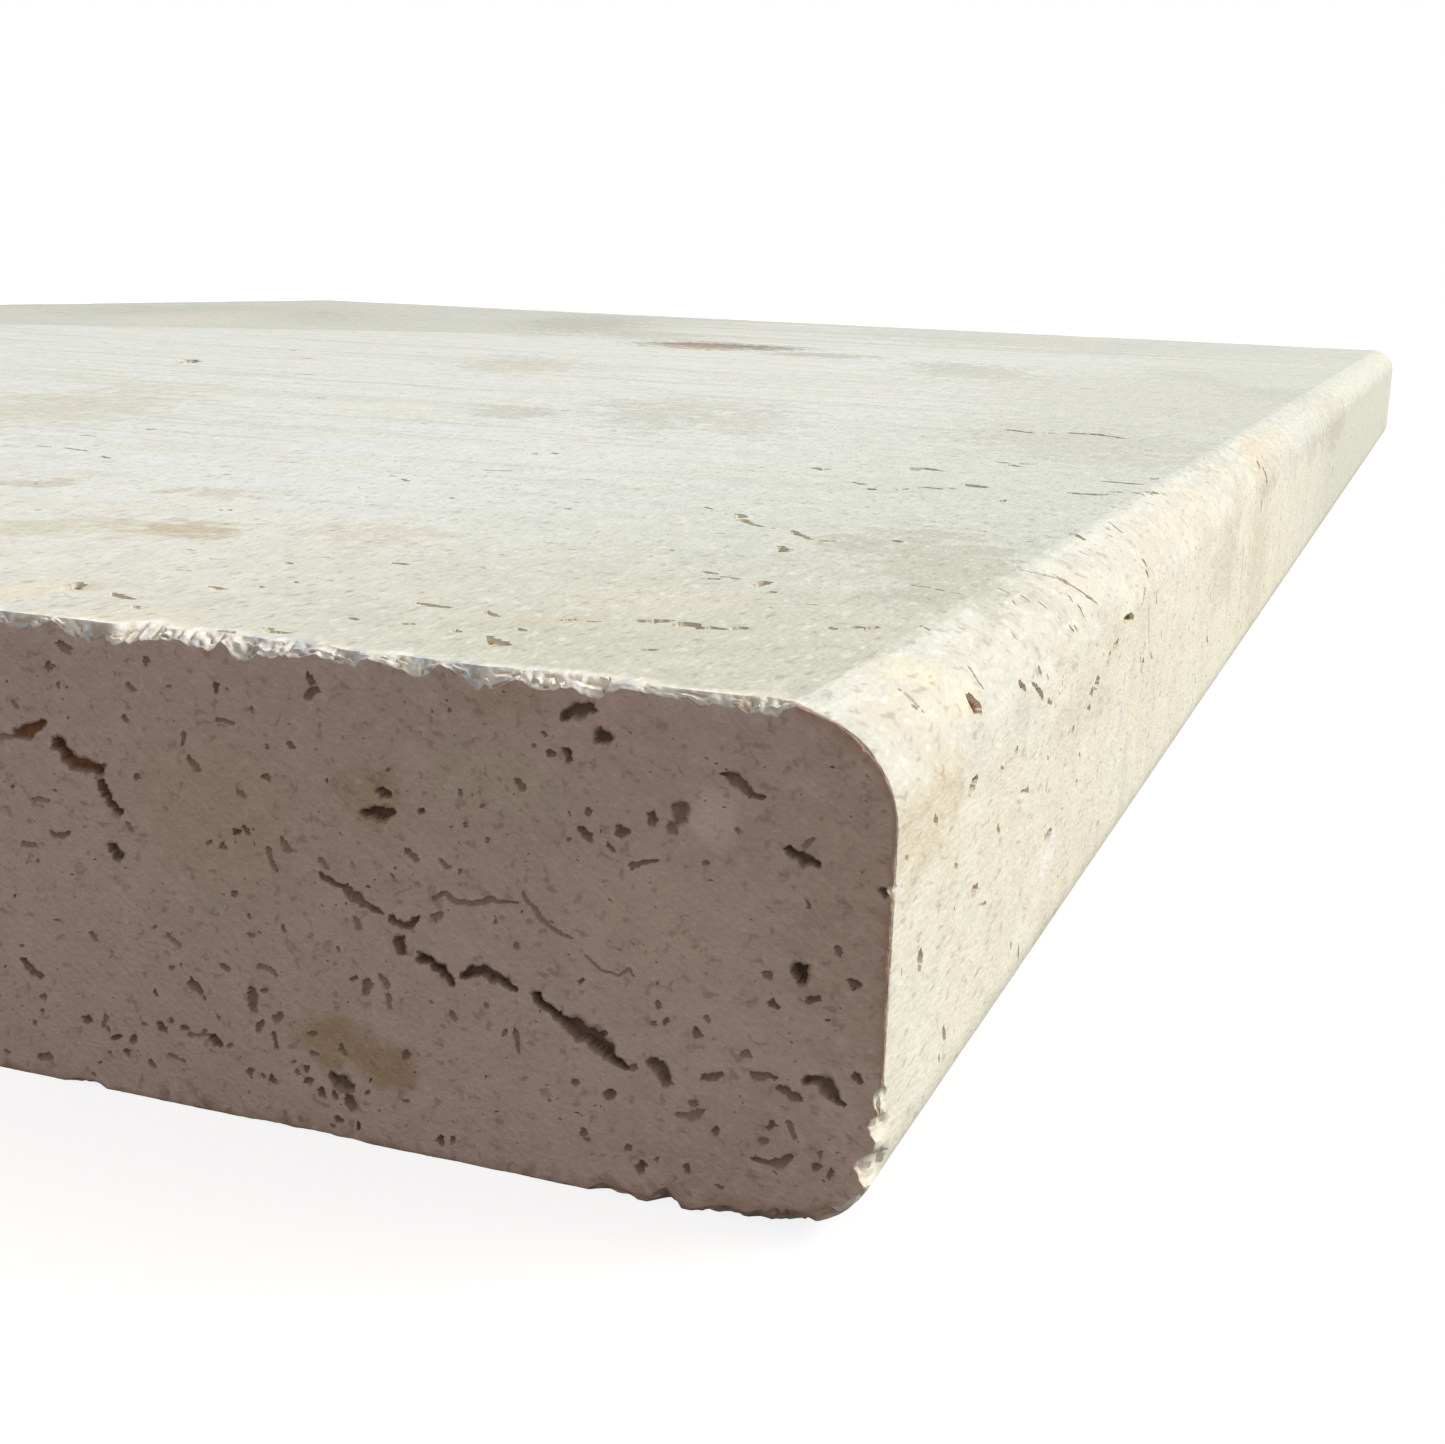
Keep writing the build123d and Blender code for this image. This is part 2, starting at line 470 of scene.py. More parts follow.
def arris_losses(s, near):
    """How far the end face's rim drops, and the long face's rim recedes, at distances s."""
    seed = SEED + (3 if near else 13)
    crumbs = 0.7 * humped(s, 0.95, seed) + 0.3 * humped(s, 0.42, seed + 4)
    bites = 0.7 * humped(s, 1.5, seed + 5) + 0.3 * humped(s, 0.6, seed + 6)
    lumps = 0.5 + 0.5 * line_noise(s, 1.9, seed + 1)
    spread = 0.5 + 0.5 * line_noise(s, 6.0, seed + 2)
    top = (ease(s, MARKS["top_start"], MARKS["top_start"] + 2)
           * (1 - ease(s, MARKS["quirk"] - 1.5, MARKS["quirk"])))
    drop = 0.08 + 0.08 * lumps + top * (0.15 + 0.75 * lumps * spread)
    recess = 0.10 + 0.08 * lumps + top * (0.35 + 0.8 * spread)
    if near:
        rim = np.array([(end_s(u, v), THICKNESS - on_end(u, v)[1]) for u, v in END_RIM])
        walk = np.array([(s, y - NEAR_Y) for s, y in (on_band(u, v) for u, v in WALK_RIM)])
        shown = ease(s, rim[0, 0] - 2, rim[0, 0])
        drop = drop * (1 - top * shown) + top * shown * np.clip(np.interp(s, *rim.T), 0.12, None)
        behind = sum(np.interp(s + aside, *walk.T) for aside in (-0.8, 0.0, 0.8)) / 3
        recess = recess * (1 - top * shown) + top * shown * np.clip(behind, 0.3, None)
    beside = (ease(s, MARKS["quirk"] - 1, MARKS["quirk"])
              * (1 - ease(s, MARKS["bottom_start"], GIRTH - 400)))
    drop = drop * (0.62 + 0.64 * crumbs) + 0.14 * beside * lumps * crumbs
    recess = recess * (0.7 + 0.55 * bites)
    if near:
        for u, v, half, down, back in CHIPS:
            shape = np.clip(1 - ((s - end_s(u, v)) / half) ** 2, 0, None) ** 0.55
            drop = np.maximum(drop, down * shape * (0.6 + 0.55 * crumbs))
            recess = np.maximum(recess, back * shape * (0.6 + 0.55 * bites))
    return drop, recess


def girth_samples(near):
    """Distances along the outline at which an end's arris has its columns of points."""
    def gap(s):
        if not near:
            return 0.7 if MARKS["quirk"] - 5 < s < MARKS["bottom_start"] + 5 else 2.0
        if top_s(VIEW_X - 1) < s < MARKS["upper_round"]:
            return 0.14
        if MARKS["upper_round"] <= s < MARKS["bottom_start"]:
            return 0.2
        if MARKS["bottom_start"] <= s < MARKS["bottom_start"] + 62:
            return 0.3
        if MARKS["top_start"] < s <= top_s(VIEW_X - 1):
            return 0.14 + (top_s(VIEW_X - 1) - s) * 0.01
        return 2.0
    stops = [ROUND_EDGE] + [MARKS[name] for name in CREASES]
    samples, s = [0.0], 0.0
    while s < GIRTH - 1e-6:
        following = min([stop for stop in stops if stop > s + 1e-6] + [GIRTH])
        step = min(gap(s + 1e-6), 2.0)
        s = following if following - s < step * 1.5 else s + step
        samples.append(s)
    return np.array(samples)


STRIP_ROWS = 7
DEEP_LOSS = 0.62        # where more than this is lost, the break shows as crystals


def arris_strip(s, drop, recess, near):
    """Rows of points from the long faces' rim to the end face's rim, crumbly between."""
    spots, normals = fold(s)
    inward = 1 if near else -1
    face_y = NEAR_Y if near else FAR_Y
    rows, humps = [], []
    for row in range(STRIP_ROWS + 1):
        t = row / STRIP_ROWS
        bow = math.sin(math.pi * t)
        grit = line_noise(s, 0.4, SEED + 90 + 7 * row + near)
        hump = np.abs(lattice_noise(s, np.full(len(s), 0.15 * row), 0.62, SEED + 50 + near)) ** 0.6
        hump[-1] = hump[0]
        size = np.minimum(drop, recess)
        dent = bow * size * (0.16 - 0.40 * hump + 0.07 * grit)
        deep = np.clip(drop * t + dent, 0, None)
        back = np.clip(recess * (1 - t) + dent, 0, None)
        if row == 0:
            deep, back = 0 * s, recess
        if row == STRIP_ROWS:
            deep, back = drop, 0 * s
        xz = spots - normals * deep[:, None]
        rows.append(np.column_stack([xz[:, 0], face_y + inward * back, xz[:, 1]]))
        humps.append(hump)
    return np.array(rows), np.array(humps)


# Cavities that the photograph shows, by their pixels: (u, v, radius in pixels)

END_PX_PER_MM = 15.2    # scale of the near end in the photograph

END_PITS = [
    (147, 663, 4), (59, 688, 3), (48, 667, 4), (215, 690, 4.5), (227, 690, 2.5), (126, 718, 4),
    (171, 686, 2.5), (268, 777, 4), (292, 745, 4), (269, 748, 3), (254, 709, 3), (391, 769, 3),
    (384, 793, 6), (421, 814, 5), (393, 875, 3), (235, 834, 5), (246, 834, 4.5), (221, 849, 4),
    (207, 843, 3.5), (10, 787, 3), (39, 861, 2.5), (56, 921, 3), (22, 946, 2.5), (45, 1000, 3.5),
    (153, 928, 3), (235, 893, 4), (171, 968, 3.5), (182, 962, 2.5), (196, 987, 4.5), (154, 995, 4),
    (207, 999, 3), (249, 934, 3), (258, 932, 2), (248, 916, 3), (285, 929, 3.5), (262, 991, 3),
    (340, 950, 3), (356, 981, 2.5), (370, 988, 4), (227, 968, 3.5), (402, 944, 5), (136, 780, 4),
    (605, 737, 7), (567, 754, 5.5), (551, 753, 4.5), (532, 749, 2.5), (543, 735, 3.5),
    (673, 829, 4), (653, 820, 5), (625, 832, 5), (613, 848, 4), (590, 810, 4), (573, 839, 3),
    (705, 863, 3), (738, 831, 2.5), (801, 971, 9), (776, 1004, 5), (812, 998, 5), (771, 977, 4),
    (805, 907, 3), (480, 806, 3), (466, 826, 3), (460, 790, 3.5), (487, 841, 3), (450, 710, 3),
    (497, 923, 3), (518, 946, 3.5), (584, 980, 4), (458, 872, 3), (635, 1068, 4), (502, 1034, 3),
    (575, 1082, 4), (612, 1093, 5), (485, 1008, 3), (453, 1017, 3), (650, 1026, 3), (664, 1024, 4),
    (657, 1007, 3.5), (697, 1033, 4.5), (707, 1020, 3), (745, 1056, 3.5), (857, 1080, 5),
    (692, 1105, 4), (713, 1130, 4.5), (770, 1125, 4.5), (762, 1141, 4), (629, 1149, 4),
    (643, 1168, 5), (685, 1167, 4.5), (719, 1188, 3.5), (657, 1161, 3), (814, 1166, 4.5),
    (829, 1172, 4), (819, 1155, 3), (585, 1133, 4), (589, 1140, 3), (851, 983, 5), (837, 953, 4),
    (806, 905, 3), (888, 891, 6), (46, 999, 3.5), (45, 1014, 3), (36, 1024, 3), (89, 1021, 5),
    (144, 1026, 3), (163, 1029, 5), (172, 1022, 3.5), (184, 1028, 4.5), (203, 1030, 3),
    (115, 1036, 5), (133, 1040, 4.5), (126, 1051, 4.5), (109, 1052, 3), (152, 1066, 4),
    (100, 1062, 3), (94, 1074, 3), (8, 1053, 3.5), (229, 1044, 3), (312, 1033, 4), (404, 1054, 4.5),
    (341, 1052, 4), (314, 1055, 3.5), (307, 1071, 4.5), (299, 1074, 3), (311, 1082, 4.5),
    (324, 1092, 5), (336, 1093, 4.5), (275, 1081, 4.5), (251, 1072, 4), (263, 1075, 3.5),
    (366, 1091, 3.5), (406, 1101, 3.5), (263, 990, 4), (356, 981, 4), (431, 1004, 2.5),
    (453, 1016, 3.5), (440, 1140, 5), (453, 1140, 4), (219, 1018, 2.5), (340, 1118, 5),
    (357, 1125, 5), (332, 1125, 3.5), (293, 1062, 2.5), (226, 967, 4), (108, 1029, 3),
    (6, 968, 2.5),
]

END_SLOTS = [
    [(13, 701, 2.5), (17, 706, 2.5)], [(-4, 734, 3.5), (12, 736, 3.5)],
    [(58, 645, 4), (67, 653, 4)], [(129, 826, 3), (133, 833, 3)], [(113, 850, 6), (119, 857, 6.5)],
    [(129, 686, 3.5), (134, 690, 3.5)], [(182, 733, 3.5), (181, 745, 3.5)],
    [(188, 760, 3.5), (196, 766, 4)], [(217, 723, 3), (224, 722, 3.5), (233, 725, 3)],
    [(239, 792, 2.5), (246, 799, 3)], [(309, 696, 4.5), (317, 693, 3.5)],
    [(410, 850, 3.5), (417, 857, 4)], [(268, 852, 2.5), (271, 864, 3.5), (275, 871, 3)],
    [(281, 843, 3.5), (286, 853, 3.5)], [(320, 860, 3), (328, 868, 3)],
    [(321, 877, 3), (334, 883, 4.5), (352, 897, 5), (367, 905, 3.5), (381, 911, 3)],
    [(393, 919, 4), (407, 926, 5.5), (418, 919, 4.5)], [(434, 916, 3.5), (439, 914, 3)],
    [(401, 941, 6), (405, 951, 6)], [(34, 799, 2.5), (47, 800, 2.5)],
    [(54, 833, 3), (64, 837, 4), (71, 832, 2.5)], [(24, 844, 3), (37, 844, 2.5)],
    [(90, 932, 3), (94, 938, 3.5)], [(22, 959, 3), (34, 970, 4.5), (41, 976, 5)],
    [(168, 934, 2.5), (180, 943, 3)], [(256, 964, 3), (268, 967, 3), (275, 976, 2)],
    [(252, 992, 4), (253, 1009, 4.5)], [(356, 919, 3), (358, 927, 3)],
    [(440, 862, 3), (446, 868, 3)],
    [(434, 898, 3), (443, 893, 3.5), (455, 900, 3), (472, 904, 2.5), (487, 900, 3.2),
     (503, 901, 2.8), (519, 900, 1.5)],
    [(524, 892, 2), (537, 908, 3), (554, 926, 2.5), (573, 935, 1.2)],
    [(588, 955, 1.6), (604, 970, 2), (619, 974, 1.8), (631, 970, 2), (636, 977, 1.2)],
    [(563, 718, 3), (578, 712, 6), (592, 709, 4)],
    [(719, 772, 2), (733, 775, 5), (745, 787, 5), (754, 797, 4), (763, 798, 2)],
    [(788, 850, 4), (804, 857, 7), (818, 866, 4)], [(804, 845, 3), (810, 838, 2.5)],
    [(584, 829, 3), (591, 837, 5)], [(634, 866, 4), (642, 861, 4), (655, 858, 1)],
    [(521, 781, 4), (526, 785, 3)],
    [(462, 977, 3), (472, 973, 5), (487, 976, 6), (505, 982, 7), (518, 992, 4)],
    [(516, 1033, 3.5), (518, 1046, 3.5)], [(657, 1066, 6), (664, 1072, 6), (669, 1083, 4)],
    [(704, 1079, 4), (713, 1077, 4.5), (722, 1074, 2.5)],
    [(756, 1075, 3.5), (766, 1076, 4.5), (775, 1078, 3)],
    [(781, 1090, 4), (795, 1096, 5), (800, 1100, 3.5)],
    [(807, 1081, 4), (818, 1081, 4.5), (828, 1088, 6), (835, 1097, 6), (842, 1105, 3)],
    [(676, 1116, 2.5), (688, 1119, 3.5), (699, 1113, 3)], [(788, 1124, 3), (793, 1137, 3.5)],
    [(754, 1158, 3), (766, 1163, 3.5), (776, 1165, 4.5), (788, 1156, 2.5)],
    [(190, 1036, 3), (213, 1033, 2.5)], [(196, 985, 5), (202, 990, 3)],
    [(211, 1036, 3), (218, 1042, 6)], [(256, 1030, 4), (262, 1024, 3)],
    [(277, 1019, 4), (284, 1014, 3)], [(272, 1036, 3), (276, 1045, 4)],
    [(369, 988, 4), (367, 995, 3)], [(382, 980, 3), (387, 988, 3.5)],
    [(389, 998, 3), (391, 1010, 3)], [(332, 1078, 4), (342, 1081, 6), (351, 1085, 4)],
    [(349, 1096, 4), (352, 1104, 5)], [(170, 1055, 2.5), (184, 1059, 3)],
    [(106, 1016, 3), (103, 1027, 3)], [(42, 1058, 3), (52, 1056, 4)],
]

# Wider hollows whose floors show, with their depth and stain: (path, depth, stain)
END_HOLLOWS = [
    ([(18, 732, 5), (30, 729, 5.5), (41, 722, 6)], 0.5, 1.0),
    ([(57, 744, 6), (70, 760, 9), (86, 768, 10), (100, 764, 7)], 0.9, 1.0),
    ([(102, 783, 5), (112, 800, 7), (122, 813, 4)], 1.0, 0.5),
    ([(364, 812, 5), (376, 812, 7), (387, 814, 5)], 0.8, 0.3),
    ([(424, 958, 6), (430, 961, 6), (441, 969, 5), (451, 982, 4)], 0.9, 0.0),
    ([(682, 817, 8)], 0.3, 0.2),
    ([(538, 994, 5), (546, 1005, 5), (559, 1016, 7), (578, 1027, 7.5), (596, 1039, 6.5),
      (612, 1053, 5), (627, 1067, 3)], 0.9, 0.0),
    ([(310, 680, 7)], 0.3, 0.0),
]

# Cavities of the walking face: (path of (u, v, radius in millimetres), depth in millimetres)
TOP_CAVITIES = [
    ([(736, 514, 0.4), (742, 517, 0.65)], 1.0),
    ([(741, 520, 0.55), (751, 524, 0.45), (762, 527, 0.3)], 1.0),
    ([(780, 546, 0.4), (783, 552, 0.6), (786, 548, 0.35)], 1.3),
    ([(792, 531, 0.35), (800, 534, 0.4), (810, 539, 0.3)], 0.6),
    ([(820, 541, 0.35), (832, 541, 0.3)], 0.5),
    ([(894, 541, 0.6), (899, 542, 0.5)], 0.9),
    ([(707, 572, 0.35), (715, 574, 0.3)], 0.6),
    ([(723, 577, 0.35), (738, 579, 0.3)], 0.6),
    ([(752, 586, 0.5), (762, 582, 0.8)], 1.2),
    ([(766, 593, 0.35), (774, 592, 0.3)], 0.5),
    ([(704, 579, 0.3), (716, 579, 0.3)], 0.5),
    ([(640, 621, 0.5), (645, 620, 0.4)], 0.7),
    ([(653, 621, 0.6), (664, 621, 0.7)], 1.0),
    ([(677, 625, 0.6), (686, 623, 0.9), (700, 628, 0.4)], 1.1),
    ([(711, 628, 0.4), (720, 629, 0.4)], 0.6),
    ([(735, 629, 0.4), (742, 628, 0.35)], 0.6),
    ([(588, 621, 0.25), (600, 621, 0.25)], 0.4),
    ([(562, 620, 0.25), (571, 619, 0.25)], 0.4),
    ([(492, 637, 0.35), (499, 642, 0.6), (506, 644, 0.4)], 1.2),
    ([(519, 629, 0.35), (524, 630, 0.3)], 0.5),
    ([(486, 612, 0.3), (497, 616, 0.3)], 0.5),
    ([(454, 631, 0.3), (458, 631, 0.3)], 0.4),
    ([(830, 628, 0.35), (834, 629, 0.3)], 0.5),
    ([(854, 628, 0.35), (858, 628, 0.3)], 0.5),
    ([(868, 630, 0.4), (878, 627, 0.3)], 0.5),
    ([(645, 650, 0.4), (652, 650, 0.35)], 0.4),
    ([(487, 470, 0.45), (512, 471, 0.35)], 0.8),
    ([(704, 507, 0.3), (710, 509, 0.3)], 0.5),
    ([(567, 509, 0.4), (568, 509, 0.4)], 0.7),
    ([(573, 502, 0.35), (574, 502, 0.35)], 0.6),
    ([(816, 468, 0.5), (822, 470, 0.6), (829, 469, 0.3)], 0.9),
    ([(853, 482, 0.35), (862, 484, 0.5)], 0.8),
    ([(866, 489, 0.6), (872, 489, 0.7)], 1.0),
    ([(860, 464, 0.3), (866, 464, 0.3)], 0.5),
    ([(914, 470, 0.9), (921, 468, 1.2), (941, 471, 0.5)], 1.3),
    ([(897, 490, 0.4), (906, 489, 0.4)], 0.6),
    ([(921, 487, 0.5), (932, 488, 0.7), (940, 489, 0.4)], 0.9),
    ([(950, 488, 0.4), (955, 489, 0.4)], 0.6),
    ([(967, 485, 0.7), (978, 487, 0.9)], 1.0),
    ([(997, 462, 0.5), (1006, 463, 0.6)], 0.8),
    ([(1010, 465, 0.6), (1016, 466, 0.5)], 0.8),
    ([(1022, 464, 0.5), (1034, 464, 0.3)], 0.6),
    ([(1001, 501, 0.6), (1005, 500, 0.5)], 0.8),
    ([(1074, 493, 0.6), (1082, 494, 0.6)], 0.8),
    ([(1086, 494, 0.6), (1092, 494, 0.5)], 0.8),
    ([(1097, 495, 0.7), (1106, 494, 0.6)], 0.8),
    ([(1110, 492, 0.5), (1118, 492, 0.5)], 0.7),
    ([(1136, 493, 0.5), (1142, 494, 0.5)], 0.6),
    ([(1148, 493, 0.5), (1156, 493, 0.4)], 0.6),
    ([(1009, 430, 0.9), (1032, 433, 0.6)], 1.2),
    ([(1070, 433, 0.9), (1092, 434, 1.3), (1122, 438, 0.6)], 1.4),
    ([(1046, 434, 0.5), (1052, 433, 0.5)], 0.7),
    ([(1150, 479, 0.7), (1155, 478, 0.6)], 0.8),
    ([(1073, 534, 0.5), (1084, 540, 0.5)], 0.7),
    ([(190, 360, 1.4), (187, 362.4, 1.5)], 2.0),
    ([(149, 429.5, 0.8), (152, 429.5, 0.7)], 1.0),
    ([(82, 435.5, 0.5), (92, 436, 0.4)], 0.6),
    ([(38, 446, 0.4), (48, 447, 0.4)], 0.6),
    ([(66, 448, 0.4), (88, 451, 0.35)], 0.6),
    ([(101, 456, 0.4), (108, 458, 0.4)], 0.6),
    ([(224, 510, 0.5), (231, 510, 0.45)], 0.7),
    ([(34, 510, 0.4), (37, 510, 0.4)], 0.6),
    ([(208, 476, 0.35), (209, 476, 0.35)], 0.5),
    ([(400, 479, 0.45), (405, 481, 0.4)], 0.6),
    ([(316, 398, 0.5), (319, 398, 0.5)], 0.7),
    ([(399, 393, 0.5), (406, 393.5, 0.4)], 0.6),
    ([(395, 563, 0.4), (405, 564, 0.3)], 0.6),
    ([(68, 589, 0.5), (74, 586, 0.7), (78, 583, 0.4)], 0.9),
    ([(112, 594, 0.5), (122, 597, 0.4), (131, 599, 0.3)], 0.5),
    ([(136, 607, 0.4), (139, 608, 0.4)], 0.5),
    ([(350, 618, 0.3), (357, 620, 0.3)], 0.5),
    ([(270, 631, 0.4), (278, 632, 0.4), (291, 633, 0.3)], 0.5),
    ([(216, 631, 0.3), (228, 632, 0.4)], 0.6),
    ([(403, 624, 0.3), (410, 624, 0.3)], 0.4),
    ([(454, 630, 0.4), (457, 630, 0.4)], 0.5),
    ([(288, 563, 0.3), (292, 564, 0.3)], 0.4),
    ([(210, 587, 0.3), (220, 589, 0.3)], 0.4),
    ([(258, 586, 0.3), (262, 587, 0.3)], 0.4),
    ([(294, 582, 0.3), (298, 583, 0.3)], 0.4),
    ([(348, 508, 0.3), (353, 508, 0.3)], 0.4),
    ([(447, 498, 0.4), (449, 498, 0.4)], 0.5),
    ([(532, 453.5, 0.5), (536, 453.5, 0.5)], 0.6),
    ([(552, 453, 0.5), (556, 453.5, 0.45)], 0.6),
]

# Cavities of the pool side and its rounds, as those of the walking face and, in one
# row, with its stain; their radii and depths are lessened by one share
SIDE_SHARE = 0.62
SIDE_CAVITIES = [
    ([(1018, 569, 0.18), (1035, 573, 0.22), (1052, 577, 0.3), (1068, 583, 0.3), (1080, 591, 0.28),
      (1097, 605, 0.2)], 0.5),
    ([(1059, 578, 0.5), (1062, 579, 0.5)], 0.7),
    ([(1086, 597, 0.4), (1092, 600, 0.4)], 0.6),
    ([(972, 703, 1.0), (976, 709, 1.3), (979, 704, 0.7)], 1.1, 0.7),
    ([(970, 668, 0.2), (977, 679, 0.25), (982, 686, 0.2)], 0.4),
    ([(913, 706, 0.35), (917, 709, 0.3)], 0.5),
    ([(970, 791, 0.8), (973, 786, 0.9), (977, 778, 0.5)], 1.0),
    ([(1020, 684, 0.5), (1025, 688, 0.5)], 0.9),
    ([(1033, 684, 0.4), (1040, 692, 0.6), (1043, 698, 0.5)], 0.9),
    ([(1048, 702, 0.4), (1051, 704, 0.4)], 0.7),
    ([(1039, 669, 0.4), (1040, 673, 0.35)], 0.6),
    ([(1124, 620, 0.6), (1129, 617, 0.9), (1133, 618, 0.6)], 0.9),
    ([(1118, 641, 0.5), (1114, 649, 0.6)], 0.8),
    ([(1110, 655, 0.8), (1108, 661, 0.8)], 1.0),
    ([(1099, 680, 0.6), (1095, 687, 0.9)], 1.0),
    ([(1092, 692, 0.7), (1088, 700, 0.5)], 0.8),
    ([(1090, 707, 0.5), (1087, 709, 0.5)], 0.6),
    ([(1074, 727, 0.5), (1072, 731, 0.5)], 0.7),
    ([(1069, 734, 0.4), (1068, 736, 0.4)], 0.5),
    ([(1144, 562, 0.5), (1146, 565, 0.5)], 0.7),
    ([(1147, 573, 0.6), (1148, 576, 0.5)], 0.8),
    ([(1145, 589, 0.4), (1143, 600, 0.5), (1141, 606, 0.35)], 0.7),
    ([(1149, 605, 0.2), (1149, 643, 0.2)], 0.5),
    ([(1161, 631, 0.3), (1161, 638, 0.3)], 0.5),
    ([(1151, 655, 0.3), (1152, 660, 0.3)], 0.4),
    ([(1210, 596, 0.4), (1210, 603, 0.4)], 0.6),
    ([(1207, 636, 0.4), (1208, 641, 0.3)], 0.5),
    ([(1016, 754, 0.4), (1018, 749, 0.35)], 0.6),
    ([(1021, 793, 0.35), (1028, 789, 0.45)], 0.6),
    ([(1046, 791, 0.35), (1047, 784, 0.3)], 0.5),
    ([(998, 828, 0.45), (999, 833, 0.4)], 0.6),
    ([(1045, 838, 0.7), (1049, 833, 0.8), (1052, 830, 0.4)], 0.9),
    ([(972, 893, 0.7), (976, 889, 0.5)], 0.7),
    ([(981, 909, 0.4), (985, 906, 0.4)], 0.5),
    ([(955, 864, 0.3), (957, 868, 0.3)], 0.4),
    ([(935, 817, 0.4), (937, 820, 0.4)], 0.5),
    ([(906, 858, 0.35), (908, 860, 0.35)], 0.4),
    ([(1079, 756, 0.3), (1080, 758, 0.3)], 0.5),
    ([(1048, 757, 0.3), (1049, 759, 0.3)], 0.4),
    ([(1002, 766, 0.3), (1004, 769, 0.3)], 0.4),
    ([(1264, 470, 0.8), (1267, 480, 1.1), (1266, 487, 0.7)], 1.0),
    ([(1258, 462, 0.6), (1260, 468, 0.6)], 0.8),
    ([(1262, 500, 0.6), (1261, 512, 0.5)], 0.6),
    ([(1078, 606, 0.35), (1082, 614, 0.35)], 0.6),
    ([(1068, 595, 0.3), (1071, 600, 0.3)], 0.5),
    ([(1040, 602, 0.25), (1046, 607, 0.25)], 0.4),
    ([(1022, 596, 0.25), (1028, 601, 0.25)], 0.4),
    ([(1013, 601, 0.2), (1018, 606, 0.2)], 0.3),
    ([(1070, 629, 0.3), (1073, 631, 0.3)], 0.5),
    ([(1075, 628, 0.3), (1077, 631, 0.3)], 0.4),
    ([(1110, 523, 0.3), (1121, 532, 0.3)], 0.5),
]


def shown_end_cavities():
    """The near end's cavities that the photograph shows."""
    rng = np.random.default_rng(SEED + 40)

    def placed(path, depth=None, stain=0.0):
        spots = [(*on_end(u, v), radius / END_PX_PER_MM) for u, v, radius in path]
        widest = max(spot[2] for spot in spots)
        own_depth = widest * (0.7 + 2.6 * min(max(widest - 0.2, 0.0), 0.35))
        return Cavity(roughened(spots, rng), own_depth if depth is None else depth, stain,
                      rimmed=True)

    found = [placed([pit]) for pit in END_PITS] + [placed(path) for path in END_SLOTS]
    found += [placed(*hollow) for hollow in END_HOLLOWS]
    return found + [Cavity(path, depth, plain=True) for path, depth in nibbled(found, rng)]


def nibbled(cavities, rng):
    """Small bites into the rims of cavities, as paths and depths."""
    bites = []
    for cavity in cavities:
        for spot in cavity.path[::2]:
            turn = rng.uniform(0, 2 * math.pi)
            away = spot[2] * rng.uniform(0.75, 1.25)
            radius = spot[2] * rng.uniform(0.3, 0.55)
            if radius < 0.06:
                continue
            a, b = spot[0] + away * math.cos(turn), spot[1] + away * math.sin(turn)
            bites.append((roughened([(a, b, radius)], rng), min(cavity.depth, 2 * radius) * 0.8))
    return bites


def shown_band_cavities():
    """The cavities of the walking face and the pool side that the photograph shows."""
    rng = np.random.default_rng(SEED + 41)
    found = []
    for rows, share in ((TOP_CAVITIES, 1.0), (SIDE_CAVITIES, SIDE_SHARE)):
        for path, depth, *stain in rows:
            spots = [(*on_band(u, v), radius * share) for u, v, radius in path]
            found.append(Cavity(roughened(spots, rng), depth * share, *stain))
    return found


def scattered(count, lowest, highest, radii, stretch, tilt, seed, keep):
    """Random cavities in a box, most of them small; keep(a, b) from 0 to 1 thins them."""
    rng = np.random.default_rng(seed)
    found = []
    while len(found) < count:
        a, b = rng.uniform(lowest, highest)
        radius = radii[0] + (radii[1] - radii[0]) * rng.power(0.5) ** 2
        longer = rng.uniform(0, stretch) * radius
        angle = math.radians(tilt[0] + rng.normal() * tilt[1])
        if rng.uniform() > keep(a, b):
            continue
        step = np.array([math.cos(angle), math.sin(angle)]) * longer / 2
        if longer < 1.5 * radius:
            path = roughened([(a, b, radius)], rng)
        else:
            path = [(a - step[0], b - step[1], radius * 0.6), (a, b, radius),
                    (a + step[0], b + step[1], radius * rng.uniform(0.4, 0.8))]
        found.append(Cavity(path, radius * rng.uniform(1.1, 2.0), plain=True))
    return found


